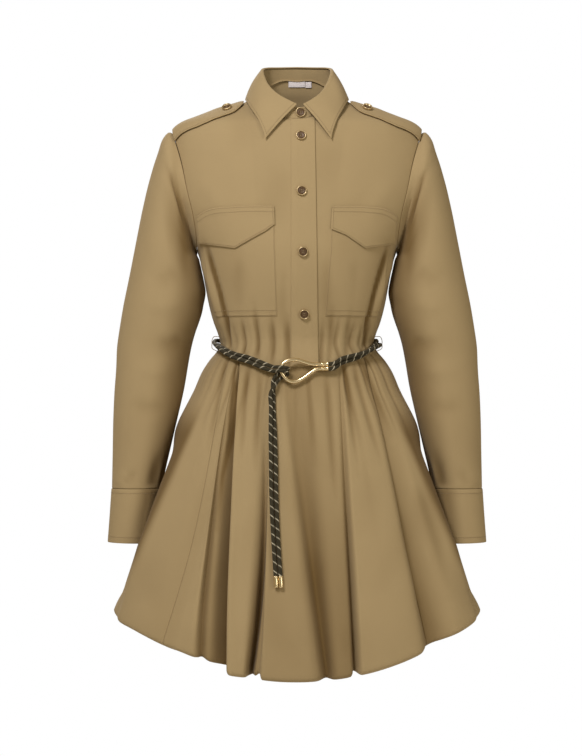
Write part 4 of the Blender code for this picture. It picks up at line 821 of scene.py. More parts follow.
class Wire:
    """A socket in a node tree. Arithmetic on wires and numbers adds Math nodes."""

    def __init__(self, finish, socket):
        self.finish = finish
        self.socket = socket

    def math(self, operation, *values):
        node = self.finish.node("ShaderNodeMath", {"operation": operation},
                                dict(enumerate(values)))
        return Wire(self.finish, node.outputs[0])

    __add__ = __radd__ = arithmetic("ADD")
    __mul__ = __rmul__ = arithmetic("MULTIPLY")
    __sub__ = arithmetic("SUBTRACT")
    __rsub__ = arithmetic("SUBTRACT", mirrored=True)

    def sine(self):
        return self.math("SINE", self)

    def fraction(self):
        return self.math("FRACT", self)

    def absolute(self):
        return self.math("ABSOLUTE", self)


class Finish:
    """One material in the making: a Principled shader, and a method that adds any other node."""

    def __init__(self, name, base, roughness, metallic=0.0, sheen=0.0, specular=0.5):
        self.base = base
        self.material = bpy.data.materials.new(name)
        self.material.use_nodes = True
        self.tree = self.material.node_tree
        self.shader = self.tree.nodes["Principled BSDF"]
        self.feed(self.shader, {
            "Base Color": (*base, 1.0), "Roughness": roughness, "Metallic": metallic,
            "Specular IOR Level": specular, "Sheen Weight": sheen, "Sheen Roughness": 0.6,
        })
        self.material.diffuse_color = (*base, 1.0)

    def feed(self, node, sockets):
        for key, value in sockets.items():
            socket = node.inputs[key]
            if isinstance(value, Wire):
                self.tree.links.new(value.socket, socket)
            else:
                socket.default_value = value

    def node(self, kind, settings=None, sockets=None):
        made = self.tree.nodes.new(kind)
        for key, value in (settings or {}).items():
            setattr(made, key, value)
        self.feed(made, sockets or {})
        return made

    def times(self, factor):
        """A lighter or darker form of the finish's own colour."""
        return [min(1.0, part * factor) for part in self.base]

    def out(self, node, key=0):
        return Wire(self, node.outputs[key])

    def uv(self):
        """The two coordinates of the cloth map, in millimetres."""
        apart = self.node("ShaderNodeSeparateXYZ", None, {
            0: self.out(self.node("ShaderNodeUVMap", {"uv_map": "cloth"}))})
        return self.out(apart, 0), self.out(apart, 1)

    def attribute(self, name):
        return self.out(self.node("ShaderNodeAttribute", {"attribute_name": name}), "Fac")

    def point(self, x, y, z=0.0):
        return self.out(self.node("ShaderNodeCombineXYZ", None, {0: x, 1: y, 2: z}))

    def place(self):
        return self.out(self.node("ShaderNodeTexCoord"), "Object")

    def noise(self, where, scale, detail=2.0):
        return self.out(self.node("ShaderNodeTexNoise", None, {
            "Vector": where, "Scale": scale, "Detail": detail}), 0)

    def step(self, value, low, high):
        """0 below low, 1 above high, smooth between."""
        return self.out(self.node("ShaderNodeMapRange", {"interpolation_type": "SMOOTHSTEP"}, {
            0: value, 1: low, 2: high}))

    def mix(self, share, a, b):
        a = a if isinstance(a, Wire) else (*a, 1.0)
        b = b if isinstance(b, Wire) else (*b, 1.0)
        return self.out(self.node("ShaderNodeMix", {"data_type": "RGBA"},
                                  {0: share, 6: a, 7: b}), 2)

    def bump(self, height, distance, strength):
        return self.out(self.node("ShaderNodeBump", None, {
            "Height": height, "Distance": distance, "Strength": strength}))

    def done(self, **sockets):
        self.feed(self.shader, {key.replace("_", " "): value for key, value in sockets.items()})
        return self.material


WEAVE_PITCH = 0.55  # millimetres from one thread to the next
RIBS = 9.0  # of the label tape, in radians to the millimetre
BRAID = (6, 2.9)  # yarns round the rope, and its lay in millimetres
MADE = {}


def finish(name):
    """The named material, made the first time it is asked for."""
    if name not in MADE:
        MADE[name] = RECIPES[name]()
    return MADE[name]


def cotton():
    """Matt plain weave: threads cross, slubs run along both ways, sewn lines sink and pucker and
    take painted shade, edges are a little paler, and shade is painted into creases, gathers,
    seams and sides turned from the light, each piece giving its own amount."""
    f = Finish("cotton", colours().cotton, 0.82, sheen=0.05, specular=0.16)
    u, v = f.uv()
    weave = (u * (math.pi / WEAVE_PITCH)).sine() * (v * (math.pi / WEAVE_PITCH)).sine()
    slub_up = f.noise(f.point(u * 1.3, v * 0.06), 1.0, 2.0)
    slub_across = f.noise(f.point(u * 0.06, v * 1.3, 7.0), 1.0, 2.0)
    blotch = f.noise(f.place(), 26.0, 3.0)
    wide = f.noise(f.place(), 7.0, 2.0)
    sewn = f.attribute("sewn")
    sunk_and_shaded = 1.0 - f.step(sewn, 0.1, 0.9)
    near = 1.0 - f.step(sewn, 0.6, 5.0)
    pucker = f.noise(f.point(u * 0.33, v * 0.33, 3.0), 1.0, 1.0) * near
    edge = 1.0 - f.step(f.attribute("edge"), 0.0, 0.9)
    tone = slub_up * 0.32 + slub_across * 0.32 + blotch * 0.5 + wide * 0.5 - 0.82
    base = f.mix(0.5 - tone * 0.55, f.times(1.09), f.times(0.90))
    # painted shade: sewn lines and each piece's own amount darken the cotton towards the shade
    # colour
    base = f.mix(sunk_and_shaded * 0.22 + f.attribute("painted_shade") * 0.9, base, colours().shade)
    base = f.mix(edge * 0.15, base, f.times(1.2))
    height = weave * 0.10 + slub_up * 0.22 + slub_across * 0.22 - sunk_and_shaded * 0.85 + pucker * 0.9
    return f.done(Base_Color=base, Roughness=0.78 + blotch * 0.1,
                  Normal=f.bump(height, 0.0006, 0.55))


def sewing_thread():
    f = Finish("sewing", colours().sewing, 0.62, sheen=0.1, specular=0.35)
    twist = f.noise(f.place(), 1500.0, 1.0)
    base = f.mix(twist * 0.6, f.base, f.times(1.35))
    return f.done(Base_Color=base, Normal=f.bump(twist, 0.0002, 0.4))


def label_tape():
    f = Finish("tape", colours().tape, 0.55, sheen=0.1, specular=0.4)
    u, v = f.uv()
    rib = (u * RIBS).sine() * (v * RIBS).sine()
    tone = f.noise(f.place(), 300.0, 2.0)
    sunk_and_shaded = 1.0 - f.step(f.attribute("sewn"), 0.1, 0.9)
    # tone varies at random; painted shade where the stitches sink
    base = f.mix(tone * 0.35 + sunk_and_shaded * 0.4, f.base, f.times(0.86))
    return f.done(Base_Color=base, Normal=f.bump(rib * 0.4 - sunk_and_shaded, 0.0003, 0.5))


def rope():
    """Braided cord: yarns cross in diamonds round it, and one pale yarn winds along it. u is the
    share of a turn round the cord, v millimetres along it."""
    f = Finish("rope", colours().cord, 0.72, sheen=0.03, specular=0.22)
    u, v = f.uv()
    round_it, along_it = u * (2 * math.pi * BRAID[0]), v * (2 * math.pi / BRAID[1])
    one = (round_it + along_it).sine()
    braid = one * (round_it - along_it).sine()
    over = f.step(one, -0.25, 0.35)
    track = u + v * (MM / sizes().fleck_pitch)
    stripe = 1.0 - f.step((track.fraction() - 0.5).absolute(), 0.052, 0.088)
    fuzz = f.noise(f.point(u * 40.0, v * 1.7), 1.0, 3.0)
    mask = stripe * f.step(over + fuzz * 0.9, 0.25, 0.75)
    dark = f.mix(fuzz, f.base, f.times(2.0))
    # painted shade in the grooves between the yarns, where the braid is low
    dark = f.mix(f.step(braid, -0.9, 0.2) * 0.75, f.times(0.35), dark)
    base = f.mix(mask, dark, colours().fleck)
    height = braid * 0.8 + fuzz * 0.35 + mask * 0.35
    return f.done(Base_Color=base, Normal=f.bump(height, 0.0006, 0.8))


def brushed_gold():
    f = Finish("gold", colours().gold, 0.24, metallic=1.0)
    cloud = f.noise(f.place(), 160.0, 3.0)
    fine = f.noise(f.place(), 1400.0, 2.0)
    base = f.mix(cloud * 0.5, f.base, f.times(0.82))
    return f.done(Base_Color=base, Roughness=0.18 + cloud * 0.10 + fine * 0.05,
                  Normal=f.bump(fine, 0.00008, 0.5))


def button_rim():
    f = Finish("rim", colours().rim, 0.33, metallic=0.85)
    cloud = f.noise(f.place(), 420.0, 3.0)
    base = f.mix(cloud, f.times(0.62), f.times(1.45))
    return f.done(Base_Color=base, Roughness=0.26 + cloud * 0.18,
                  Normal=f.bump(cloud, 0.0001, 0.5))


def button_dish():
    f = Finish("dish", colours().dish, 0.38, metallic=0.15)
    grain = f.noise(f.place(), 520.0, 4.0)
    base = f.mix(grain, f.times(0.5), f.times(1.9))
    return f.done(Base_Color=base, Roughness=0.3 + grain * 0.2, Normal=f.bump(grain, 0.0001, 0.4))


def pale_floor():
    f = Finish("floor", (0.84, 0.835, 0.825), 0.9, specular=0.1)
    return f.done(Roughness=0.86 + f.noise(f.place(), 3.0, 2.0) * 0.06)


RECIPES = {
    "cotton": cotton, "sewing": sewing_thread, "tape": label_tape, "rope": rope,
    "gold": brushed_gold, "rim": button_rim, "dish": button_dish, "floor": pale_floor,
}


# ---- stage
class DRESS_OT_stage(bpy.types.Operator):
    """Camera at the front view, pale floor and soft studio light"""
    bl_idname = "dress.stage"
    bl_label = "Stage"

    def execute(self, context):
        build_stage(context.scene)
        return {"FINISHED"}


def aim(item, place, target):
    """Puts a camera or light at place so that its -Z axis points at target."""
    item.location = place
    direction = unit(np.array(target, float) - np.array(place, float))
    item.rotation_euler = (
        math.acos(-direction[2]), 0.0, math.atan2(direction[1], direction[0]) - math.pi / 2)


# Area lights: name, place and target in metres, size, power and colour.
LIGHTS = (
    ("key", (-0.85, -1.85, 1.40), (0.0, 0.0, -0.18), 0.8, 46.5, (1.0, 0.985, 1.05)),
    ("fill", (1.9, -2.3, 0.2), (0.0, 0.0, -0.45), 1.2, 18.0, (1.0, 0.98, 0.95)),
    ("back", (-0.8, 2.8, 1.4), (0.0, 0.0, -0.35), 1.2, 40.0, (1.0, 0.985, 0.96)),
)


SENSOR = 36.0
FLOOR_RADIUS, FLOOR_Z, FLOOR_SIDES = 2150.0, -1330.0, 96
WALL_LIGHT, WALL_STRENGTH = (1.0, 0.86, 0.61, 1.0), 0.31


def build_stage(scene):
    """The camera looks level at the dress; the floor is a wide disc far below the hem. The studio
    wall is white to the camera, and lights the cloth softly and a little warm."""
    lens = bpy.data.cameras.new("camera")
    lens.sensor_fit = "VERTICAL"
    lens.sensor_height = SENSOR
    lens.lens = SENSOR * CAMERA_DISTANCE / FRAME_HEIGHT
    lens.clip_end = 50.0
    camera = bpy.data.objects.new("camera", lens)
    scene.collection.objects.link(camera)
    aim(camera, (CAMERA_X * MM, -CAMERA_DISTANCE * MM, CAMERA_Z * MM),
        (CAMERA_X * MM, 0.0, CAMERA_Z * MM))
    scene.camera = camera
    for name, place, target, size, power, tint in LIGHTS:
        lamp = bpy.data.lights.new(name, "AREA")
        lamp.shape = "DISK"
        lamp.size = size
        lamp.energy = power
        lamp.color = tint
        light = bpy.data.objects.new(name, lamp)
        scene.collection.objects.link(light)
        aim(light, place, target)
    turn = np.linspace(0, 2 * math.pi, FLOOR_SIDES + 1)[:-1]
    disc = np.stack((FLOOR_RADIUS * np.cos(turn), FLOOR_RADIUS * np.sin(turn),
                     0 * turn + FLOOR_Z), axis=-1)
    floor = new_piece("floor", disc, [tuple(range(FLOOR_SIDES))], finish("floor"))
    world = bpy.data.worlds.new("studio")
    world.use_nodes = True
    tree = world.node_tree
    lit = tree.nodes["Background"]
    lit.inputs["Color"].default_value = WALL_LIGHT
    lit.inputs["Strength"].default_value = WALL_STRENGTH
    seen = tree.nodes.new("ShaderNodeBackground")
    seen.inputs["Color"].default_value = (1.0, 1.0, 1.0, 1.0)
    ray = tree.nodes.new("ShaderNodeLightPath")
    mixed = tree.nodes.new("ShaderNodeMixShader")
    tree.links.new(ray.outputs["Is Camera Ray"], mixed.inputs[0])
    tree.links.new(lit.outputs[0], mixed.inputs[1])
    tree.links.new(seen.outputs[0], mixed.inputs[2])
    tree.links.new(mixed.outputs[0], tree.nodes["World Output"].inputs["Surface"])
    scene.world = world
    scene.view_settings.view_transform = "Standard"
    scene.view_settings.look = "None"


# ---- tubes
def along_route(points, step):
    """Points every `step` millimetres on the smooth curve through route points."""
    points = np.asarray(points, float)
    knots = lengths_along(points)
    fine = spline(knots, points, np.linspace(0, knots[-1], 40 * len(points)))
    length = lengths_along(fine)
    count = max(int(round(length[-1] / step)), 2) + 1
    return read_along(np.linspace(0, length[-1], count), length, fine)


def frames_along(path):
    """Two side directions at each point of a path, carried along it without twist."""
    tangent = unit(np.gradient(path, axis=0))
    side = np.cross(tangent[0], UP)
    if np.linalg.norm(side) < 0.1:
        side = np.array((1.0, 0.0, 0.0))
    sides = [unit(side - tangent[0] * np.dot(side, tangent[0]))]
    for here in tangent[1:]:
        side = sides[-1] - here * np.dot(sides[-1], here)
        sides.append(unit(side))
    sides = np.array(sides)
    return sides, np.cross(tangent, sides)


def ring_faces(rows, sides, inward=False):
    """Quads between the rings of a tube, and a flat face over each end."""
    r, c = np.indices((rows - 1, sides))
    after = (c + 1) % sides
    quads = np.stack((r * sides + c, r * sides + after, (r + 1) * sides + after,
                      (r + 1) * sides + c), axis=-1).reshape(-1, 4)
    ends = [tuple(range(sides))[::-1], tuple((rows - 1) * sides + k for k in range(sides))]
    if inward:
        quads = quads[:, (0, 3, 2, 1)]
        ends = [end[::-1] for end in ends]
    return quads.tolist() + ends


def tube(name, path, radius, material, sides):
    """Round tube: circles of the given radii square to the path, with flat ends. UVs are the
    share of a turn and millimetres along."""
    side, other = frames_along(path)
    radius = np.broadcast_to(radius, (len(path),))
    turn = np.linspace(0, 2 * math.pi, sides + 1)
    turn = turn[:, None]
    spokes = side[:, None] * np.cos(turn) + other[:, None] * np.sin(turn)
    points = path[:, None] + spokes * radius[:, None, None]
    vertices = points[:, :-1].reshape(-1, 3)
    piece = new_piece(name, vertices, ring_faces(len(path), sides), material, sharp=50)
    run = lengths_along(path)
    layer = piece.data.uv_layers.new(name="cloth")
    r, c = np.indices((len(path) - 1, sides))
    corner_u = np.stack((c, c + 1, c + 1, c), axis=-1) / sides
    corner_v = np.stack((run[r], run[r], run[r + 1], run[r + 1]), axis=-1)
    uv = np.stack((corner_u, corner_v), axis=-1).reshape(-1, 2)
    flat = np.zeros((2 * sides, 2))
    layer.data.foreach_set("uv", np.concatenate((uv, flat)).astype(np.float32).reshape(-1))
    return piece


def lathe(name, profile, centre, axis, material, sides=32):
    """Solid of revolution: profile rows are (distance along the axis, radius)."""
    axis = unit(np.asarray(axis, float))
    profile = np.asarray(profile, float)
    side = unit(np.cross(axis, (0.02, 0.03, 1.0)))
    other = np.cross(axis, side)
    turn = np.arange(sides) * 2 * math.pi / sides
    spoke = side * np.cos(turn)[:, None] + other * np.sin(turn)[:, None]
    points = centre + axis * profile[:, :1, None] + spoke[None] * profile[:, 1:, None]
    faces = ring_faces(len(profile), sides)
    return new_piece(name, points.reshape(-1, 3), faces, material, sharp=40)


# ---- belt
def strand(bearing, half_turns, first):
    """Centre of one waist cord; the two wind slowly round each other."""
    psi = np.radians(bearing)
    around = np.abs(signed(bearing))
    wind = half_turns * math.pi + (0.0 if first else math.pi)
    z = spline(*np.array(BELT, float).T, around)
    to_side = smooth_step(np.abs(np.cos(psi)) / 0.35)
    out = STRAND_REST + 0.8 + 1.4 * to_side
    out = out + STRAND_APART / 2 * (np.abs(np.sin(wind)) + np.sin(wind))
    amount, until, fade = HOOK_LIFT
    out = out + amount * (1 - smooth_step((around - until) / fade))
    point = form_point(psi, z, out, gathers=False)
    point[:, 2] += STRAND_APART / 2 * np.cos(wind)
    return point


def waist_cord(first):
    """From the ferrule round the wearer's left side and back to the hook's left end."""
    start, end = BELT_REACH
    bearing = np.linspace(start, end, 43)
    share = (bearing - start) / (end - start)
    turns = HALF_TURNS * (share - np.sin(2 * math.pi * share) / (2 * math.pi) * 0.35)
    points = strand(bearing, turns, first)
    level = FERRULE_HEIGHTS[0 if first else 1] + 0.2
    at_ferrule = np.array(((45.8, -104.4, level), (50.3, -104.0, level + 0.1)))
    return np.concatenate((at_ferrule, points[1:]))


# The solids' plainer fold lines left of the middle, which the hanging cords' route rests on.
PLAIN_FOLDS = (
    (-0.440, -0.243, -16, 0.2, 2, 0.8, 8), (-0.370, -0.195, 4, 0.1, 3),
    (-0.220, -0.050, 6, 0.1, 3), (-0.110, 0.075, 2, 0.0, 2), (0.030, 0.150, -11, 0.0, 1, 0.55, 1),
)


def plain_waves(psi, t, _base):
    """The solids' own waist waves: a cosine round the body that fades down the skirt."""
    deep = 0.75 + 0.25 * np.sin(3.0 * psi + 0.6)
    here = smooth_step((from_placket(psi) - 0.20) / 0.15)
    here = here * smooth_step(np.abs(np.cos(psi)) / 0.35)
    swell = (1 + 0.8 * math.sin(math.pi * min(t / 0.25, 1.0))) * math.exp(-t / 0.16)
    return 1.3 * deep * here * np.cos(26.0 * psi + 0.9 * np.sin(2.0 * psi)) * swell


def hanging_route(first, columns):
    """A cord lies against the skirt from below the hook to its metal end."""
    route = []
    for z, first_x, second_x, ahead in HANGING:
        x = first_x if first else second_x
        at_x, at_y = np.array([read_along(-z, -line[:, 2], line[:, :2]) for line in columns]).T
        order = np.argsort(at_x)
        y = np.min(np.interp((x - 4.0, x, x + 4.0), at_x[order], at_y[order])) - STRAND_REST - 0.7
        route.append((x, y if first else y - ahead, z, 1.0))
    return route


def belt_paths():
    """Centre lines and radius shares of the two waist cords and of their two hanging ends."""
    front = fold_lines(PLAIN_FOLDS, False)[0]
    columns = np.stack([skirt_point(front, t, waves=plain_waves, below=0.9)
                        for t in np.linspace(0, 1, 30)], axis=1)
    paths = {}
    for first, word, number in ((True, "upper", "1"), (False, "lower", "2")):
        waist = waist_cord(first)
        waist = np.column_stack((waist, np.ones(len(waist))))
        hitch = np.array(HITCH_SECOND if first else HITCH_FIRST)
        hanging = np.array(hanging_route(not first, columns))
        loose = along_route(np.concatenate((waist[-2:], hitch, hanging)), 2.0)
        joined = int(np.argmin(np.abs(loose[:, 2] - hitch[-1, 2]) + 1000 * (loose[:, 0] > -25)))
        run = lengths_along(loose)
        cut = run[joined] + 5.0
        tied = loose[run < cut]
        paths["belt_cord_" + word] = np.concatenate((along_route(waist[:-1], 2.2)[:-1], tied))
        paths["hanging_cord_" + number] = loose[run > cut - 1.9]
    return paths


def hook_route():
    x, z = np.array(BUCKLE_ROUTE).T
    middle_x, middle_y, middle_z = BUCKLE_MIDDLE
    y = middle_y - BUCKLE_LEAN[0] * (middle_x - x) - BUCKLE_LEAN[1] * (middle_z - z)
    return along_route(np.stack((x, y, z), axis=-1), 1.5)


class DRESS_OT_belt(bpy.types.Operator):
    """Rope belt: two cords round the waist, through the hook, and their hanging ends"""
    bl_idname = "dress.belt"
    bl_label = "Rope belt"

    def execute(self, context):
        paths = belt_paths()
        for word in ("upper", "lower"):
            path = paths["belt_cord_" + word]
            piece = tube("rope_" + word, path[:, :3], CORD_RADIUS * path[:, 3], finish("rope"), 20)
            hold(piece, "belt_cord_" + word)
        for number in ("1", "2"):
            path = paths["hanging_cord_" + number]
            tip = build_tip(number, path[-1, :3], unit(path[-1, :3] - path[-3, :3]))
            piece = tube("rope_end_" + number, path[:, :3], CORD_RADIUS * path[:, 3],
                         finish("rope"), 20)
            hold(piece, "hanging_cord_" + number)
        build_hook()
        build_carriers()
        return {"FINISHED"}


def build_tip(number, end, down):
    """Metal end cap: a rolled lip, a straight barrel and a rounded foot."""
    radius, tall = TIP
    radius += 0.15
    profile = (
        (-0.4, radius - 0.7), (-0.4, radius - 0.1), (0.0, radius + 0.12), (0.7, radius + 0.12),
        (1.1, radius - 0.12), (1.5, radius - 0.05), (tall - 1.6, radius - 0.05),
        (tall - 0.7, radius - 0.3), (tall - 0.2, radius - 0.9), (tall, radius - 1.7),
        (tall + 0.05, 0.01),
    )
    piece = lathe("rope_tip_" + number, profile, end, down, finish("gold"))
    return hold(piece, "cord_tip_" + number)


def build_hook():
    """The bent rod, a little fuller than its solid, and the ferrules over the cords' ends."""
    rod = tube("hook", hook_route(), BUCKLE_TUBE + 0.2, finish("gold"), 24)
    hold(rod, "buckle")
    radius, length = FERRULE
    profile = (
        (-0.3, 2.2), (-0.3, radius - 0.25), (0.0, radius + 0.02), (0.9, radius + 0.1),
        (1.4, radius - 0.12), (length - 1.4, radius - 0.1), (length - 0.9, radius + 0.12),
        (length, radius + 0.1), (length + 0.3, radius - 0.2), (length + 0.3, 2.0),
    )
    for word, level in zip(("upper", "lower"), FERRULE_HEIGHTS):
        start = np.array((*FERRULE_START, level))
        piece = lathe("ferrule_cap_" + word, profile, start, (1.0, 0.08, 0.02), finish("gold"))
        hold(piece, "ferrule_" + word)


def build_carriers():
    """Loops of chained thread at the side seams: a thin tube that swells at each chain stitch."""
    for side, word in SIDES:
        ends = np.array(CARRIER_ENDS)
        top, bottom = section("half_width", ends) - 0.8
        route = ((top, ends[0]), *CARRIER_ROUTE, (bottom, ends[1]))
        path = along_route([(side * x, 0.0, z) for x, z in route], 0.35)
        swell = 0.52 + 0.16 * np.sin(lengths_along(path) * 2 * math.pi / CHAIN_PITCH)
        piece = tube("thread_loop_" + word, path, swell, finish("sewing"), 10)
        hold(piece, "carrier_loop_" + word)


# ---- neck line and bodice
def section_reach(theta, z):
    """Distance from the middle of a section to its edge in the direction theta."""
    depth = np.where(np.cos(theta) > 0, section("front", z), section("back", z))
    power = section("squareness", z)
    across = np.abs(np.sin(theta)) / section("half_width", z)
    along = np.abs(np.cos(theta)) / depth
    return (across ** power + along ** power) ** (-1 / power)


def neck_point(theta):
    """Point of the neck seam: an oval seen from above, laid on the form."""
    theta = np.atleast_1d(theta)
    depth = np.where(np.cos(theta) > 0, NECK_FRONT, NECK_BACK)
    radius = 1 / np.hypot(np.sin(theta) / NECK_HALF_WIDTH, np.cos(theta) / depth)
    heights = np.linspace(45.0, -60.0, 400)
    reach = section_reach(theta[:, None], heights[None, :])
    z = np.array([np.interp(r, row, heights) for r, row in zip(radius, reach)])
    return np.stack((radius * np.sin(theta), -radius * np.cos(theta), z), axis=-1)


def top_height(x, back):
    """Height of a bodice panel's upper edge above x: neck seam first, then shoulder seam."""
    start, end = (math.pi, math.pi / 2) if back else (0.0, math.pi / 2)
    neck = neck_point(np.linspace(start, end, 120))
    x = np.abs(x)
    on_neck = np.interp(x, neck[:, 0], neck[:, 2])
    heights = np.linspace(neck[-1, 2], SHOULDER_TIP_Z, 160)
    on_shoulder = np.interp(x, section("half_width", heights), heights)
    return np.where(x < neck[-1, 0], on_neck, on_shoulder)


def side_limit(z, back):
    """x of the armhole seam, and of the side seam below the underarm."""
    seam = read_column(ARMHOLE, ARMHOLE_COLUMNS, "back_x" if back else "front_x", z)
    half = section("half_width", z)
    limit = np.where(z > UNDERARM_Z, np.minimum(seam, half), half)
    return np.where(z > SHOULDER_TIP_Z, SHOULDER_TIP, limit) * 0.9999985


def panel_falls(count):
    """Shares of the way down a bodice panel at which its rows lie, close at both edges."""
    edge = np.array((0.0, 0.0022, 0.0048, 0.009))
    inner = np.linspace(0, 1, count)
    inner = 0.012 + 0.976 * (inner - 0.10 * np.sin(2 * math.pi * inner) / (2 * math.pi))
    return np.concatenate((edge, inner, 1 - edge[::-1]))


def half_tops(edge_x):
    """Top positions of half a panel's columns: even in angle to the neck point, then even in the
    angle that the shoulder seam turns through, closer at the armhole."""
    corner = neck_point(math.pi / 2)[0, 0]
    first = np.linspace(0, 1, 18 if edge_x == 0 else 22)
    first = edge_x + (corner - edge_x) * (first + 0.12 * np.sin(math.pi * first) * first)
    start = math.asin((corner + 8) / (SHOULDER_TIP + 8))
    angle = np.linspace(start, math.pi / 2, 46)[1:]
    second = (SHOULDER_TIP + 8) * np.sin(angle) - 8
    near = SHOULDER_TIP - np.array((0.9, 0.35))
    return np.unique(np.round(np.concatenate((first, second, near)), 5))


def bodice_grid(top_x, edge_x, back=False):
    """(psi, z) of a panel whose columns start at top_x on the upper edge and keep their share
    of the width from edge_x to the armhole and side seam all the way down."""
    edge = 1.0 if back else np.sign(top_x[-1] + top_x[0])
    share = (top_x - edge_x) / (edge * SHOULDER_TIP - edge_x)
    z_top = top_height(top_x, back)
    bottom = np.full_like(z_top, WAIST_Z)
    for _ in range(4):
        limit = side_limit(bottom, back) * edge
        x_bottom = edge_x + share * (limit - edge_x)
        bottom = waist_height(angle_at(x_bottom, bottom, back))
    z = z_top + (bottom - z_top) * panel_falls(130)[:, None]
    limit = side_limit(z, back) * edge
    x = edge_x + share * (limit - edge_x)
    return angle_at(x, z, back), z


class DRESS_OT_bodice(bpy.types.Operator):
    """Two fronts, back and buttoned placket"""
    bl_idname = "dress.bodice"
    bl_label = "Bodice and placket"

    def execute(self, context):
        front = half_tops(PLACKET_SEAM_X)
        mirror = -front[front > 0][::-1]
        right = np.concatenate((mirror, np.linspace(mirror[-1], PLACKET_SEAM_X, 3)[1:]))
        rolls = {"top": 1.0, "bottom": 0.8}
        for name, tops, outer, column_there in (
            ("front_right", right, "left", 0),
            ("front_left", front[front >= PLACKET_SEAM_X], "right", -1),
        ):
            psi, z = bodice_grid(tops, PLACKET_SEAM_X)
            surface, normal = body_surface(psi, z)
            # painted shade in the creases and gathers, and a dark line along the armhole and side
            # seam
            shade_amount = hollows(psi, z)
            shade_amount[:, column_there] = SEAM_SHADE
            cloth("cloth_" + name, surface, normal, rolls={**rolls, outer: 0.7},
                  rests_on=["back"], painted_shade=shade_amount, tucks=(outer,))
        half = half_tops(0.0)
        psi, z = bodice_grid(np.concatenate((-half[::-1], half[1:])), 0.0, back=True)
        surface, normal = body_surface(psi, z)
        # the back gets painted shade in its creases and gathers
        cloth("cloth_back", surface, normal, rolls={**rolls, "left right": 0.7},
              rests_on=["front_left", "front_right"], painted_shade=hollows(psi, z),
              tucks=("left", "right", "top"))
        build_placket()
        return {"FINISHED"}


def laid(x, z, lift=0.0, back=False):
    """Grid that lies on the body at x and z, its outer face lift above the cloth under it."""
    return body_surface(angle_at(x, z, back), z, lift)[0]


def build_placket():
    """Straight band down the fronts: sewn flat along its left edge, free along the other."""
    fall = np.linspace(0, 1, 200)[:, None]
    across = np.linspace(0, 1, 30)
    right_x = PLACKET_SEAM_X - 1.0
    top_x, low_x = (right_x + (left_x - right_x) * across for left_x in PLACKET_LEFT_X)
    top = top_height(top_x, False) - 0.2
    bottom = waist_height(angle_at(low_x, WAIST_Z - WAIST_FRONT_DIP)) + 0.3
    x = top_x + (low_x - top_x) * fall
    z = top + (bottom - top) * fall
    grid = reset_grid(laid(x, z), ((0, 0.7, 1.5, 2.6), (0, 0.5, 1.2, 2.4, 4.0), 3.0),
                      ((0, 0.7, 1.6), (0, 0.7, 1.6), 2.6))
    facing = front_facing(grid)
    lift = 0.5 + 1.6 * smooth_step(edge_distances(grid)["left"] / 9.0)
    # painted shadow: a dark line along the placket's free edge
    painted_edge_shadow = np.zeros(lift.shape)
    painted_edge_shadow[:, -1] = EDGE_SHADE
    cloth("cloth_placket", grid + facing * lift[..., None], facing, rests_on=["front_right"],
          painted_shade=painted_edge_shadow, lines=(("left", 1.5),), rolls={"left": 0.5, "right": 0.35},
          thickness=WALLS["placket"], stitches=(np.s_[:, 2],))


# ---- pockets and flaps
def on_front(side, share, z):
    """x at a share of the front's width, on the wearer's right (-1) or left (1)."""
    return PLACKET_SEAM_X + share * (side * side_limit(z, False) - PLACKET_SEAM_X)


class DRESS_OT_pockets(bpy.types.Operator):
    """Patch pockets and their pointed flaps"""
    bl_idname = "dress.pockets"
    bl_label = "Pockets and flaps"

    def execute(self, context):
        for side, word in SIDES:
            build_pocket(side, word)
            build_flap(side, word)
        return {"FINISHED"}


def build_pocket(side, word):
    """Patch sewn flat at its sides and foot, with a second row of stitches above the foot."""
    first, last = POCKET_SHARES[word]
    shares = np.linspace(first, last, 60)[None, :]
    z = np.linspace(POCKET_TOP, POCKET_BOTTOM, 80)[:, None] + 0 * shares
    grid = reset_grid(laid(on_front(side, shares, z), z), (SEAM_EDGE, SEAM_EDGE, 2.6),
                      ((0, 0.8, 1.7), (0, 0.7, 1.5, 2.6, 5.2, 7.8, 9.0, 10.2), 2.6))
    facing = front_facing(grid)
    # painted shade in the creases under the pocket
    shade_amount = hollows(angle_at(grid[..., 0], grid[..., 2]), grid[..., 2])
    cloth("cloth_pocket_" + word, grid + facing * POCKET_LIFT, facing, painted_shade=shade_amount,
          lines=(("left right bottom", 1.5), ("bottom", 9.0)), rolls={"left right bottom": 0.9},
          thickness=WALLS["pocket"], rests_on=["front_" + word], held="stretched",
          stitches=(np.s_[:-3, 2], np.s_[:-3, -3], np.s_[-3, 2:-2], np.s_[-7, 3:-3]))


def build_flap(side, word):
    """Pointed flap: two rows of stitches along its top, one inside its free edges."""
    place, top, bottom = np.array(FLAPS[word], float).T
    shares = np.linspace(place[0], place[-1], 90)[None, :]
    down = np.linspace(0, 1, 60)[:, None]
    top = spline(place, top, shares)
    bottom = np.interp(shares, place, bottom)
    z = top + (bottom - top) * down
    grid = reset_grid(laid(on_front(side, shares, z), z), (FINE_EDGE, FINE_EDGE, 2.2),
                      ((0, 0.7, 1.5, 2.4, 3.6, 5.7, 7.8, 9.0, 10.2), FINE_EDGE, 2.2))
    facing = front_facing(grid)
    lift = FLAP_LIFT + 0.9 * smooth_step((edge_distances(grid)["top"] - 12.0) / 30.0)
    cloth("cloth_flap_" + word, grid + facing * lift[..., None], facing,
          lines=(("top", 2.4), ("top", 9.0), ("left right bottom", 2.4)),
          rolls={"top": 1.6, "left right bottom": 0.5}, thickness=WALLS["flap"],
          rests_on=["pocket_" + word], stitches=(
              np.s_[3, 1:-1], np.s_[7, 1:-1], np.s_[7:-3, 3], np.s_[7:-3, -4], np.s_[-4, 3:-3]))


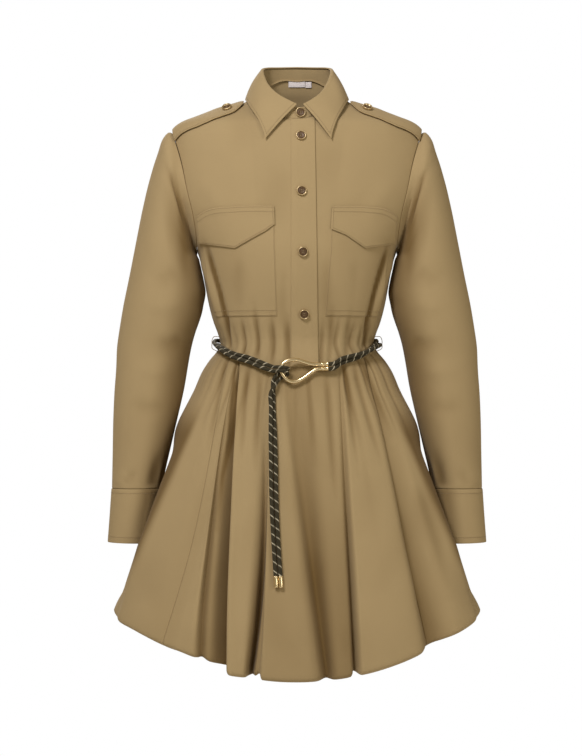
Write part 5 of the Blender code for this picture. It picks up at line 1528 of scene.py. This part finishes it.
# ---- epaulettes
def over_shoulder(x, reach):
    """(psi, z) of the point that lies `reach` forward of the shoulder ridge, over the cloth."""
    heights = np.linspace(10.0, -60.0, 300)
    ridge = np.interp(abs(x), section("half_width", heights), heights)
    on_form = ridge - (ridge + 92.0) * np.linspace(0, 1, 240) ** 2
    psi = angle_at(x, on_form, reach < 0)
    length = lengths_along(form_point(psi, on_form, gathers=False))
    return np.interp(abs(reach), length, psi), np.interp(abs(reach), length, on_form)


class DRESS_OT_straps(bpy.types.Operator):
    """Shoulder straps with a pointed neck end"""
    bl_idname = "dress.straps"
    bl_label = "Shoulder straps"

    def execute(self, context):
        share, front_edge, back_edge = np.array(EPAULETTE, float).T
        along = np.concatenate((np.linspace(0, 0.12, 10)[:-1], np.linspace(0.12, 1, 34)))
        front = np.interp(along, share, front_edge)
        back = np.interp(along, share, back_edge)
        across = np.linspace(0, 1, 22)[:, None]
        reach = back + (front - back) * across
        bow = EPAULETTE_BOW[0] * (np.maximum(reach, 0.0) / EPAULETTE_BOW[1]) ** 2
        x = EPAULETTE_NECK_X + (SHOULDER_TIP - 2.0 - bow - EPAULETTE_NECK_X) * along
        for side, word in SIDES:
            psi, z = np.vectorize(over_shoulder)(side * x, reach)
            normal = form_normal(psi, z)
            grid = form_point(psi, z) + normal * (STRAP_GAP + 2.3)
            grid = reset_grid(grid, (STRAP_EDGE, (0, 0.7, 1.5), 2.4),
                              (STRAP_EDGE, STRAP_EDGE, 2.4))
            cloth("cloth_epaulette_" + word, grid, UP, thickness=WALLS["epaulette"],
                  lines=(("left top bottom", 2.6),), rests_on=["front_" + word, "back"],
                  rolls={"left top bottom": 0.6, "right": 1.5}, held="laid",
                  stitches=(np.s_[3, 3:], np.s_[-4, 3:], np.s_[3:-3, 3]))
        return {"FINISHED"}


# ---- collar
def level_outward(bearing, rise=0.0):
    """Direction away from the neck at a bearing, with an upward share."""
    return np.stack((np.sin(bearing), -np.cos(bearing), rise + 0 * bearing), axis=-1)


def collar_line(theta, part):
    """The fold or the edge at theta degrees round the neck, negative on the wearer's right."""
    turn = np.abs(theta)
    table = dict(zip(COLLAR_COLUMNS, np.array(COLLAR, float).T))
    x, y, z = (spline(table["theta"], table[part + axis], turn) for axis in ("_x", "_y", "_z"))
    share = 0.4 if part == "edge" else 1.0
    shift = share * COLLAR_SHIFT * (1 - smooth_step(turn / 60.0))
    return np.stack((x * np.sign(theta) + shift, y, z), axis=-1)


class DRESS_OT_collar(bpy.types.Operator):
    """Collar stand and pointed collar leaf"""
    bl_idname = "dress.collar"
    bl_label = "Collar"

    def execute(self, context):
        build_stand()
        build_leaf()
        return {"FINISHED"}


def build_stand():
    """The stand runs from its covered left end round the back to its buttoned right end."""
    turn = np.linspace(*STAND_ENDS, 240)
    outward = level_outward(np.radians(turn))
    bearing = signed(turn)
    low = neck_point(np.radians(bearing))
    high = collar_line(np.where(bearing == 0, 1e-6, bearing), "fold")
    front = np.abs(bearing) < 10
    ends = collar_line(np.array((-10.0, 10.0)), "fold")
    for axis in range(2):
        high[front, axis] = np.interp(bearing[front], (-10.0, 10.0), ends[:, axis])
    under = STAND_TUCK * smooth_step((STAND_COVERED - turn) / 20.0)[:, None]
    low = low - outward * (0.2 + under) - UP * 0.4
    below_roll = 1.9 + 2.2 * (1 - smooth_step(np.abs(bearing) / 45.0))
    high = high + outward * (0.3 - under) - UP * below_roll[:, None]
    wall = low + (high - low) * np.linspace(1, 0, 20)[:, None, None]
    end = (0, 0.6, 1.4, 2.4)
    grid = reset_grid(wall, (end, end, 3.0), ((0, 0.7, 1.5), FINE_EDGE, 3.0))
    outward = level_outward(np.arctan2(grid[..., 0], -grid[..., 1]))
    cloth("cloth_collar_stand", grid, outward, thickness=WALLS["collar_stand"],
          lines=(("bottom", 2.4), ("right", 2.4)), rests_on=["back"], held="stretched",
          rolls={"bottom right": 0.5, "left": 0.4},
          stitches=(np.s_[-4, 2:-3], np.s_[2:-3, -4]))


def build_leaf():
    """The leaf rolls over the stand and falls outside it, with a belly, to its pointed ends."""
    half = -np.concatenate(((0.01, 1.5, 3, 5), np.linspace(7, 179.2, 110)))
    degrees = np.concatenate((half, (180.0,), -half[::-1]))
    outward = level_outward(np.radians(degrees))
    fold = collar_line(degrees, "fold")
    edge = collar_line(degrees, "edge")
    rows = []
    for angle in np.linspace(math.pi, 0, 9):
        reach = ROLL_REACH * math.cos(angle)
        rows.append(fold + outward * reach + UP * (0.2 + ROLL_RISE * math.sin(angle)))
    turn = rows[-1]
    ripple = 0.5 * np.sin(np.radians(degrees * 7.0 + 20.0))[:, None]
    for share in np.linspace(0, 1, 26)[1:]:
        belly = (LEAF_BELLY + ripple) * math.sin(math.pi * share)
        rows.append(turn + (edge - turn) * share + (outward + UP) * belly)
    leaf = np.stack(rows)[:, ::-1]
    end = (*FINE_EDGE, 4.0)
    grid = reset_grid(leaf, (end, end, 3.2), ((0, 1.0, 2.0, 3.0, 4.2, 5.6, 7.2), end, 2.6))
    outward = level_outward(np.arctan2(grid[..., 0], -grid[..., 1]), 0.8)
    cloth("cloth_collar_leaf", grid, outward, thickness=WALLS["collar_leaf"], held="folded",
          lines=(("left right bottom", 4.0),), rests_on=["collar_stand"],
          rolls={"left right bottom": 0.4},
          stitches=(np.s_[6:-4, 4], np.s_[6:-4, -5], np.s_[-5, 4:-4]))


class DRESS_OT_labels(bpy.types.Operator):
    """Plain woven tapes inside the back of the neck"""
    bl_idname = "dress.labels"
    bl_label = "Neck tapes"

    def execute(self, context):
        for name, left, right, top, bottom in TAPES:
            x, z = np.meshgrid(np.linspace(left, right, 30), np.linspace(top, bottom, 24))
            grid = reset_grid(laid(x, z, -TAPE_DEPTH, back=True), (TAPE_EDGE, TAPE_EDGE, 1.2),
                              (TAPE_EDGE, TAPE_EDGE, 1.0))
            inward = np.array((0.0, -1.0, 0.0))
            cloth("tape_" + name, grid, inward, thickness=WALLS["tape"], held="laid",
                  rests_on=["back"], material=finish("tape"), slot="label",
                  lines=(("left right top bottom", 1.1),),
                  rolls={"left right": 0.3, "top": 0.4})
        return {"FINISHED"}


# ---- sleeves and cuffs
def armhole_loop(phi):
    """The armhole seam; phi is 0 at the shoulder tip, 90 degrees in front, 180 underarm."""
    middle = (SHOULDER_TIP_Z + UNDERARM_Z) / 2
    reach = (SHOULDER_TIP_Z - UNDERARM_Z) / 2
    z = middle + reach * np.cos(phi)
    back = np.sin(phi) < 0
    x = np.where(back, side_limit(z - 1e-6, True), side_limit(z - 1e-6, False))
    psi = np.where(back, angle_at(x, z, True), angle_at(x, z, False))
    return form_point(psi, z, gathers=False)


def ring(row, phi):
    """Ellipse of one sleeve section: its long axis runs from the inner to the outer end."""
    inner_x, inner_z, outer_x, outer_z, half_depth, forward = row
    inner = np.array((inner_x, -forward, inner_z))
    outer = np.array((outer_x, -forward, outer_z))
    depth = np.array((0.0, -half_depth, 0.0))
    return ((inner + outer) / 2 + np.cos(phi)[:, None] * (outer - inner) / 2
            + np.sin(phi)[:, None] * depth)


def sleeve_lift(along, phi):
    """Sum of the creases given round a sleeve, each a bell curve both ways."""
    lift = 0.0
    for place, bearing, length, width, depth in SLEEVE_CREASES:
        away = signed(np.degrees(phi) - bearing)
        lift = lift + depth * np.exp(-((along - place) / length) ** 2 - (away / width) ** 2)
    return lift


def outward_normals(wall):
    """Normals of a tube's grid, turned away from the middle of each ring."""
    normals = grid_normals(wall, closed=True)
    spokes = wall - wall.mean(axis=1, keepdims=True)
    return normals if np.sum(normals * spokes) > 0 else -normals


def sleeve_wall():
    """Left sleeve and the shade painted on its cloth: smooth curves through its rings, lifted by
    creases given round it and seen from the front and the back, by the stretch that is pressed
    towards the bodice, and by a fuller head. Shade is painted on its inner side, in its creases'
    troughs and along the armhole seam."""
    phi = np.linspace(0, 2 * math.pi, 97)[:-1]
    rings = [armhole_loop(phi)] + [ring(row, phi) for row in SLEEVE_SECTIONS]
    rings = np.stack(rings)
    places = lengths_along(rings.mean(axis=1))
    edge = np.array((0, 0.0013, 0.0028, 0.005))
    along = np.concatenate((edge, np.linspace(0.008, 0.992, 150), 1 - edge[::-1]))
    wall = spline(places, rings, along * places[-1])
    normals = outward_normals(wall)
    fade = np.minimum(smooth_step(along / 0.04), smooth_step((1 - along) / 0.02))[:, None]
    x, y, z = np.moveaxis(wall, -1, 0)
    front = smooth_step((-normals[..., 1] - 0.05) / 0.3)
    back = smooth_step((normals[..., 1] - 0.05) / 0.3)
    lift = sleeve_lift(along[:, None], phi[None, :])
    lift = lift + front * crease_field(x, z, y, SLEEVE_FRONT_CREASES)
    lift = lift + back * crease_field(x, z, y, SLEEVE_BACK_CREASES)
    top, foot, amount = PRESSED
    pressed = smooth_step((top - z) / 16) * smooth_step((z - foot) / 25)
    pressed = amount * pressed * smooth_step((-normals[..., 0] - 0.5) / 0.4)
    place, reach, amount = PUFFED
    puffed = np.exp(-((along - place) / reach) ** 2)[:, None] * smooth_step(normals[..., 2] / 0.5)
    lift = lift * fade + (pressed + amount * puffed) * smooth_step(along / 0.016)[:, None]
    # painted shade: on the inner side facing the bodice, less low down, in the creases' troughs,
    # and along the armhole seam
    inner = smooth_step((-normals[..., 0] - 0.02) / 0.85) * smooth_step((-105 - z) / 90)
    shade_amount = (0.66 - 0.22 * smooth_step((-390 - z) / 130)) * inner
    shade_amount = np.clip(shade_amount + np.clip(-lift / 9, 0, 0.55), 0, 0.85)
    shade_amount[0] = SEAM_SHADE
    return wall + normals * lift[..., None], shade_amount


class DRESS_OT_sleeves(bpy.types.Operator):
    """Sleeves and buttonless cuffs"""
    bl_idname = "dress.sleeves"
    bl_label = "Sleeves and cuffs"

    def execute(self, context):
        left, shade_amount = sleeve_wall()
        for side, word in SIDES:
            wall = left * np.array((side, 1.0, 1.0))
            cloth("cloth_sleeve_" + word, wall, outward_normals(wall), closed=True,
                  rolls={"top": 0.35, "bottom": 0.6}, rests_on=["front_" + word, "back"],
                  tucks=("top", "bottom"), painted_shade=shade_amount)
            build_cuff(side, word)
        return {"FINISHED"}


def build_cuff(side, word):
    """Two-layer band with a lap on its inner front, sewn near both edges. Its side towards the
    skirt has painted shade."""
    phi = np.linspace(0, 2 * math.pi, 97)[:-1]
    rings = np.stack([ring(row, phi) for row in CUFF_SECTIONS])
    run = lengths_along(rings.mean(axis=1))
    wall = spline(run, rings, np.linspace(0, run[-1], 60))
    wall = reset_rows(wall * np.array((side, 1.0, 1.0)), (0, 0.6, 1.3, 2.6, 6.5),
                      (0, 0.6, 1.3, 2.6, 8.5), 3.0)
    out = outward_normals(wall)
    away = signed(np.degrees(phi)[None, :] - CUFF_LAP)
    down = np.linspace(0, 1, len(wall))[:, None]
    lap = 0.9 * (smooth_step((away + 6 + 8 * down) / 2.5) - smooth_step((away + 5) / 60.0))
    wall = wall + out * lap[..., None]
    # painted shade on the cuff's side towards the skirt
    shaped, facing = cloth(
        "cloth_cuff_" + word, wall, out, closed=True, thickness=WALLS["cuff"],
        held="stretched", lines=(("top", 6.5), ("bottom", 8.5)),
        rolls={"top": 0.7, "bottom": 0.5}, rests_on=["sleeve_" + word],
        painted_shade=0.62 * smooth_step((0.12 - side * out[..., 0]) / 0.75))
    for row in (4, -5):
        line = np.concatenate((shaped[row], shaped[row, :1]))
        sew(line, np.concatenate((facing[row], facing[row, :1])))


# ---- skirt
def fold_lines(folds, back):
    """Columns of a half skirt: angles at waist and hem, then depth, start, shade, rise, bend."""
    values = np.array([row + (0,) * (8 - len(row)) for row in folds], float)
    counts = values[:-1, 4].astype(int)
    values = np.column_stack((np.arcsin(values[:, :2]), values[:, 2:4], values[:, 5:]))
    if back:
        values[:, :2] = np.pi - values[:, :2]
    places = [number + np.arange(count) / count for number, count in enumerate(counts)]
    places = np.concatenate((*places, (len(folds) - 1.0,)))
    return spline(np.arange(len(folds)), values, places), places


def arm_hollow(y, z):
    """How far the skirt's side gives way to the sleeve that hangs against it."""
    depth = np.clip(read_column(ARM_HOLLOW, ARM_HOLLOW_COLUMNS, "depth", z), 0.0, None)
    near = np.clip(1 - (y / ARM_HOLLOW_HALF) ** 2, 0.0, 1.0)
    place, wide, share = ARM_HOLLOW_LIP
    lip = share * np.exp(-((np.abs(y) - place) / wide) ** 2)
    return depth * (near ** 1.2 - lip)


def fine_waves(psi, t, base):
    """The waist's gathers fading down the skirt, with the front's creases."""
    swell = (0.9 + 1.1 * math.sin(math.pi * min(t / 0.3, 1.0))) * math.exp(-t / 0.22)
    creases = crease_field(base[:, 0], base[:, 2], base[:, 1], SKIRT_CREASES)
    return waist_gathers(psi) * swell + (np.cos(psi) > 0) * creases


def skirt_point(lines, t, inset=0.0, z_shift=0.0, waves=fine_waves, below=0.1):
    """Outer face of the skirt at share t of the way down, which starts a little below the waist
    seam: fold lines are straight as seen from the front, each moved out by its depth times a
    smooth start and by the waves. The fourth value is the shade painted on the cloth: between
    its neighbours, in the waves' valleys, under the belt and beside the sleeve."""
    waist_psi, hem_psi, out, start, shade, rise, bend = lines.T
    top = waist_height(waist_psi) - below
    drop = np.where(np.cos(hem_psi) > 0, HEM_FRONT_DROP, HEM_BACK_DROP)
    bottom = HEM_SIDE_Z - drop * np.abs(np.cos(hem_psi)) ** 2.3 + rise + HEM_ROLL
    z = top + (bottom - top) * t
    k_waist, k_hem = np.sin(waist_psi), np.sin(hem_psi)
    a_top, a_low, a_here = (section("half_width", height) for height in (top, bottom, z))
    straight = (k_waist * a_top * (1 - t) + k_hem * a_low * t) / a_here
    spread = k_waist + (k_hem - k_waist) * t
    free = 1 - np.maximum(np.abs(k_waist), np.abs(k_hem)) ** 4
    k = straight * free + spread * (1 - free) + bend * 4 * t * (1 - t)
    k = np.clip(k, -1, 1)
    front = np.cos(waist_psi) > 0
    psi = np.where(front, np.arcsin(k), np.pi - np.arcsin(k))
    base = form_point(psi, z, gathers=False)
    depth = np.where(front, section("front", z), section("back", z))
    plan = plan_normal(psi, a_here, depth)
    grow = smooth_step((t - start) / (1 - start) * 1.15)
    waved = waves(psi, t, base)
    lift = out * grow + waved - arm_hollow(base[:, 1], z) - inset
    point = np.empty((len(base), 4))
    point[:, :2] = base[:, :2] + plan * lift[:, None]
    point[:, 2] = z + z_shift
    # painted shade: between the folds as the table gives, on the side beside the sleeve, under the
    # belt at the top, and in the waves' valleys
    corner_x, corner_z, gained = SIDE_SHADE
    beside = smooth_step((np.abs(base[:, 0]) - corner_x - gained * (corner_z - z)) / 12.0)
    beside = beside * smooth_step((-440.0 - z) / 60.0) * smooth_step((z + 705.0) / 50.0)
    closed = np.maximum(shade * grow, 0.85 * beside) + 0.42 * math.exp(-t / 0.08)
    point[:, 3] = np.clip(closed + np.clip(-waved / 5.0, 0, 0.7), 0, 1)
    return point


class DRESS_OT_skirt(bpy.types.Operator):
    """Gathered skirt in four panels, with its hem turned under"""
    bl_idname = "dress.skirt"
    bl_label = "Skirt"

    def execute(self, context):
        front, front_places = fold_lines(FRONT_FOLDS, False)
        back, back_places = fold_lines(BACK_FOLDS, True)
        lines = np.concatenate((front, back[1:-1]))
        t_rows = np.concatenate(((0, 0.002, 0.0045, 0.008), np.linspace(0.014, 1, 100)))
        rows = [skirt_point(lines, t) for t in t_rows]
        for angle in np.radians(np.linspace(15, 180, 12)):
            rows.append(skirt_point(lines, 1.0, HEM_ROLL * (1 - math.cos(angle)),
                                    -HEM_ROLL * math.sin(angle)))
        for t in np.linspace(0.99, 0.93, 6):
            rows.append(skirt_point(lines, t, 2 * HEM_ROLL))
        grid = np.stack(rows)
        seams = []
        for table, places, start in ((FRONT_FOLDS, front_places, 0),
                                     (BACK_FOLDS, back_places, len(front) - 1)):
            rows = [row for row, fold in enumerate(table) if fold[0] in SEAM_SHARES]
            seams += [start + int(np.argmin(np.abs(places - row))) for row in rows]
        count = grid.shape[1]
        names = ("skirt_front", "skirt_side_left", "skirt_back", "skirt_side_right")
        for number, name in enumerate(names):
            first, last = seams[number], seams[(number + 1) % 4]
            last += count if last <= first else 0
            part = with_seam_lines(grid[:, np.arange(first, last + 1) % count])
            # the fourth value is the painted shade
            part, shade_amount = part[..., :3], part[..., 3]
            spokes = part * np.array((1.0, 1.0, 0.0))
            spokes[len(t_rows) + 8:] *= -1  # from the underside of the turned hem on
            cloth("cloth_" + name, part, spokes, rolls={"left right": 0.6}, held="gathered",
                  lines=(("left right", 0.0),), rests_on=["belt_cord_upper"], tucks=("left",),
                  painted_shade=shade_amount)
        return {"FINISHED"}


def with_seam_lines(part):
    """Adds grid lines 0.7 and 1.6 mm inside both side edges of a panel."""
    sides = []
    for edge, neighbour in ((0, 1), (-1, -2)):
        along = part[:, neighbour] - part[:, edge]
        along = along / np.linalg.norm(along[:, :3], axis=-1, keepdims=True)
        sides.append([part[:, edge] + along * inset for inset in (0.7, 1.6)])
    return np.stack([part[:, 0], *sides[0], *np.moveaxis(part[:, 1:-1], 1, 0), *sides[1][::-1],
                     part[:, -1]], axis=1)


# ---- buttons
BUTTON_SEAT = LAYER_GAP + 1.8  # of a button's back above the form
STRAP_BUTTON_SEAT = STRAP_GAP + 3.8
BUTTON_RIM = (  # radius and height outside the dish, over the rim and under
    (3.8, 2.15), (4.2, 2.1), (4.6, 1.5), (5.0, 1.2), (5.5, 1.3), (5.9, 2.7), (6.3, 3.25),
    (6.7, 3.4), (7.1, 3.1), (7.45, 2.3), (7.5, 1.0), (6.9, 0.3), (5.8, 0.0), (0.02, 0.0),
)
DISH_RINGS, RIM_RING = 12, 14  # rings that the holes reach, first ring of the rim's finish
HOLE_X, HOLE_RADIUS = 1.15, 0.72
THREAD_REACH = 1.35


class DRESS_OT_buttons(bpy.types.Operator):
    """Seven sewn buttons"""
    bl_idname = "dress.buttons"
    bl_label = "Buttons"

    def execute(self, context):
        for name, x, z in BUTTONS:
            if name == "button_collar":
                place, normal = np.array((x, COLLAR_BUTTON_Y, z)), np.array((0.0, -1.0, 0.12))
            else:
                psi = angle_at(x, z)
                normal = form_normal(psi, z)
                place = form_point(psi, z, gathers=False) + normal * BUTTON_SEAT
            build_button(name, place, normal)
        for side, word in SIDES:
            psi, z = over_shoulder(side * EPAULETTE_BUTTON[0], EPAULETTE_BUTTON[1])
            normal = form_normal(psi, z)
            place = form_point(psi, z) + normal * STRAP_BUTTON_SEAT
            build_button("epaulette_button_" + word, place, normal + np.array((0, -0.25, 0)))
        return {"FINISHED"}


def build_button(name, centre, axis):
    """Polar grid: a rounded rim, a groove and a dished middle with four holes, closed below. Each
    hole is a steep bell curve. A pair of thread bars arches over the holes."""
    axis = unit(axis)
    side = unit(np.cross(axis, UP))
    up = np.cross(side, axis)
    radius = np.concatenate(((0.02,), np.linspace(0.5, 3.4, 9), [row[0] for row in BUTTON_RIM]))
    height = np.concatenate(((1.85,), np.linspace(1.85, 2.05, 9), [row[1] for row in BUTTON_RIM]))
    sides = 44
    turn = np.arange(sides) * 2 * math.pi / sides
    a = radius[:, None] * np.cos(turn)
    b = radius[:, None] * np.sin(turn)
    h = np.repeat(height[:, None], sides, axis=1)
    dished = (np.arange(len(radius)) < DISH_RINGS)[:, None]
    for hx in (-HOLE_X, HOLE_X):
        for hy in (-HOLE_X, HOLE_X):
            h = h - dished * 1.1 * np.exp(-(np.hypot(a - hx, b - hy) / HOLE_RADIUS) ** 4)
    points = (centre + side * a[..., None] + up * b[..., None] + axis * h[..., None])
    piece = new_piece("sewn_" + name, points.reshape(-1, 3),
                      ring_faces(len(radius), sides, inward=True), [finish("dish"), finish("rim")])
    on_rim = np.repeat(np.arange(len(radius) - 1) >= RIM_RING, sides)
    index = np.concatenate((on_rim, (False, True)))
    piece.data.polygons.foreach_set("material_index", index.astype(np.int32))
    piece.data.update()
    hold(piece, name)
    for number, hy in enumerate((-HOLE_X, HOLE_X)):
        bar = np.linspace(-THREAD_REACH, THREAD_REACH, 9)
        arch = 2.15 - 0.55 * (np.abs(bar) / THREAD_REACH) ** 4
        line = centre + side * bar[:, None] + up * hy + axis * arch[:, None]
        thread = tube(f"button_thread_{name}_{number}", line, 0.3, finish("sewing"), 8)
        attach(thread, "root")


class DRESS_OT_sewing(bpy.types.Operator):
    """Stitches along every sewn line of the pieces that are already made"""
    bl_idname = "dress.sewing"
    bl_label = "Top-stitching"

    def execute(self, context):
        build_sewing()
        return {"FINISHED"}


# ---- add-on
class DRESS_PT_panel(bpy.types.Panel):
    """Pieces of the dress, in the order in which they are made"""
    bl_idname = "DRESS_PT_panel"
    bl_label = "Shirt dress"
    bl_space_type = "VIEW_3D"
    bl_region_type = "UI"
    bl_category = "Dress"

    def draw(self, context):
        for settings in (context.scene.dress_sizes, context.scene.dress_colours):
            for key in settings.bl_rna.properties.keys():
                if key not in ("rna_type", "name"):
                    self.layout.prop(settings, key)
        for operator in OPERATORS:
            self.layout.operator(operator.bl_idname)


OPERATORS = (
    DRESS_OT_stage, DRESS_OT_belt, DRESS_OT_bodice, DRESS_OT_pockets, DRESS_OT_straps,
    DRESS_OT_collar, DRESS_OT_labels, DRESS_OT_sleeves, DRESS_OT_skirt, DRESS_OT_buttons,
    DRESS_OT_sewing,
)
CLASSES = (DressSizes, DressColours, *OPERATORS, DRESS_PT_panel)


def register():
    for item in CLASSES:
        bpy.utils.register_class(item)
    bpy.types.Scene.dress_sizes = bpy.props.PointerProperty(type=DressSizes)
    bpy.types.Scene.dress_colours = bpy.props.PointerProperty(type=DressColours)


def unregister():
    del bpy.types.Scene.dress_sizes
    del bpy.types.Scene.dress_colours
    for item in reversed(CLASSES):
        bpy.utils.unregister_class(item)


def main():
    register()
    for operator in OPERATORS:
        group, name = operator.bl_idname.split(".")
        getattr(getattr(bpy.ops, group), name)()


if __name__ == "__main__":
    main()
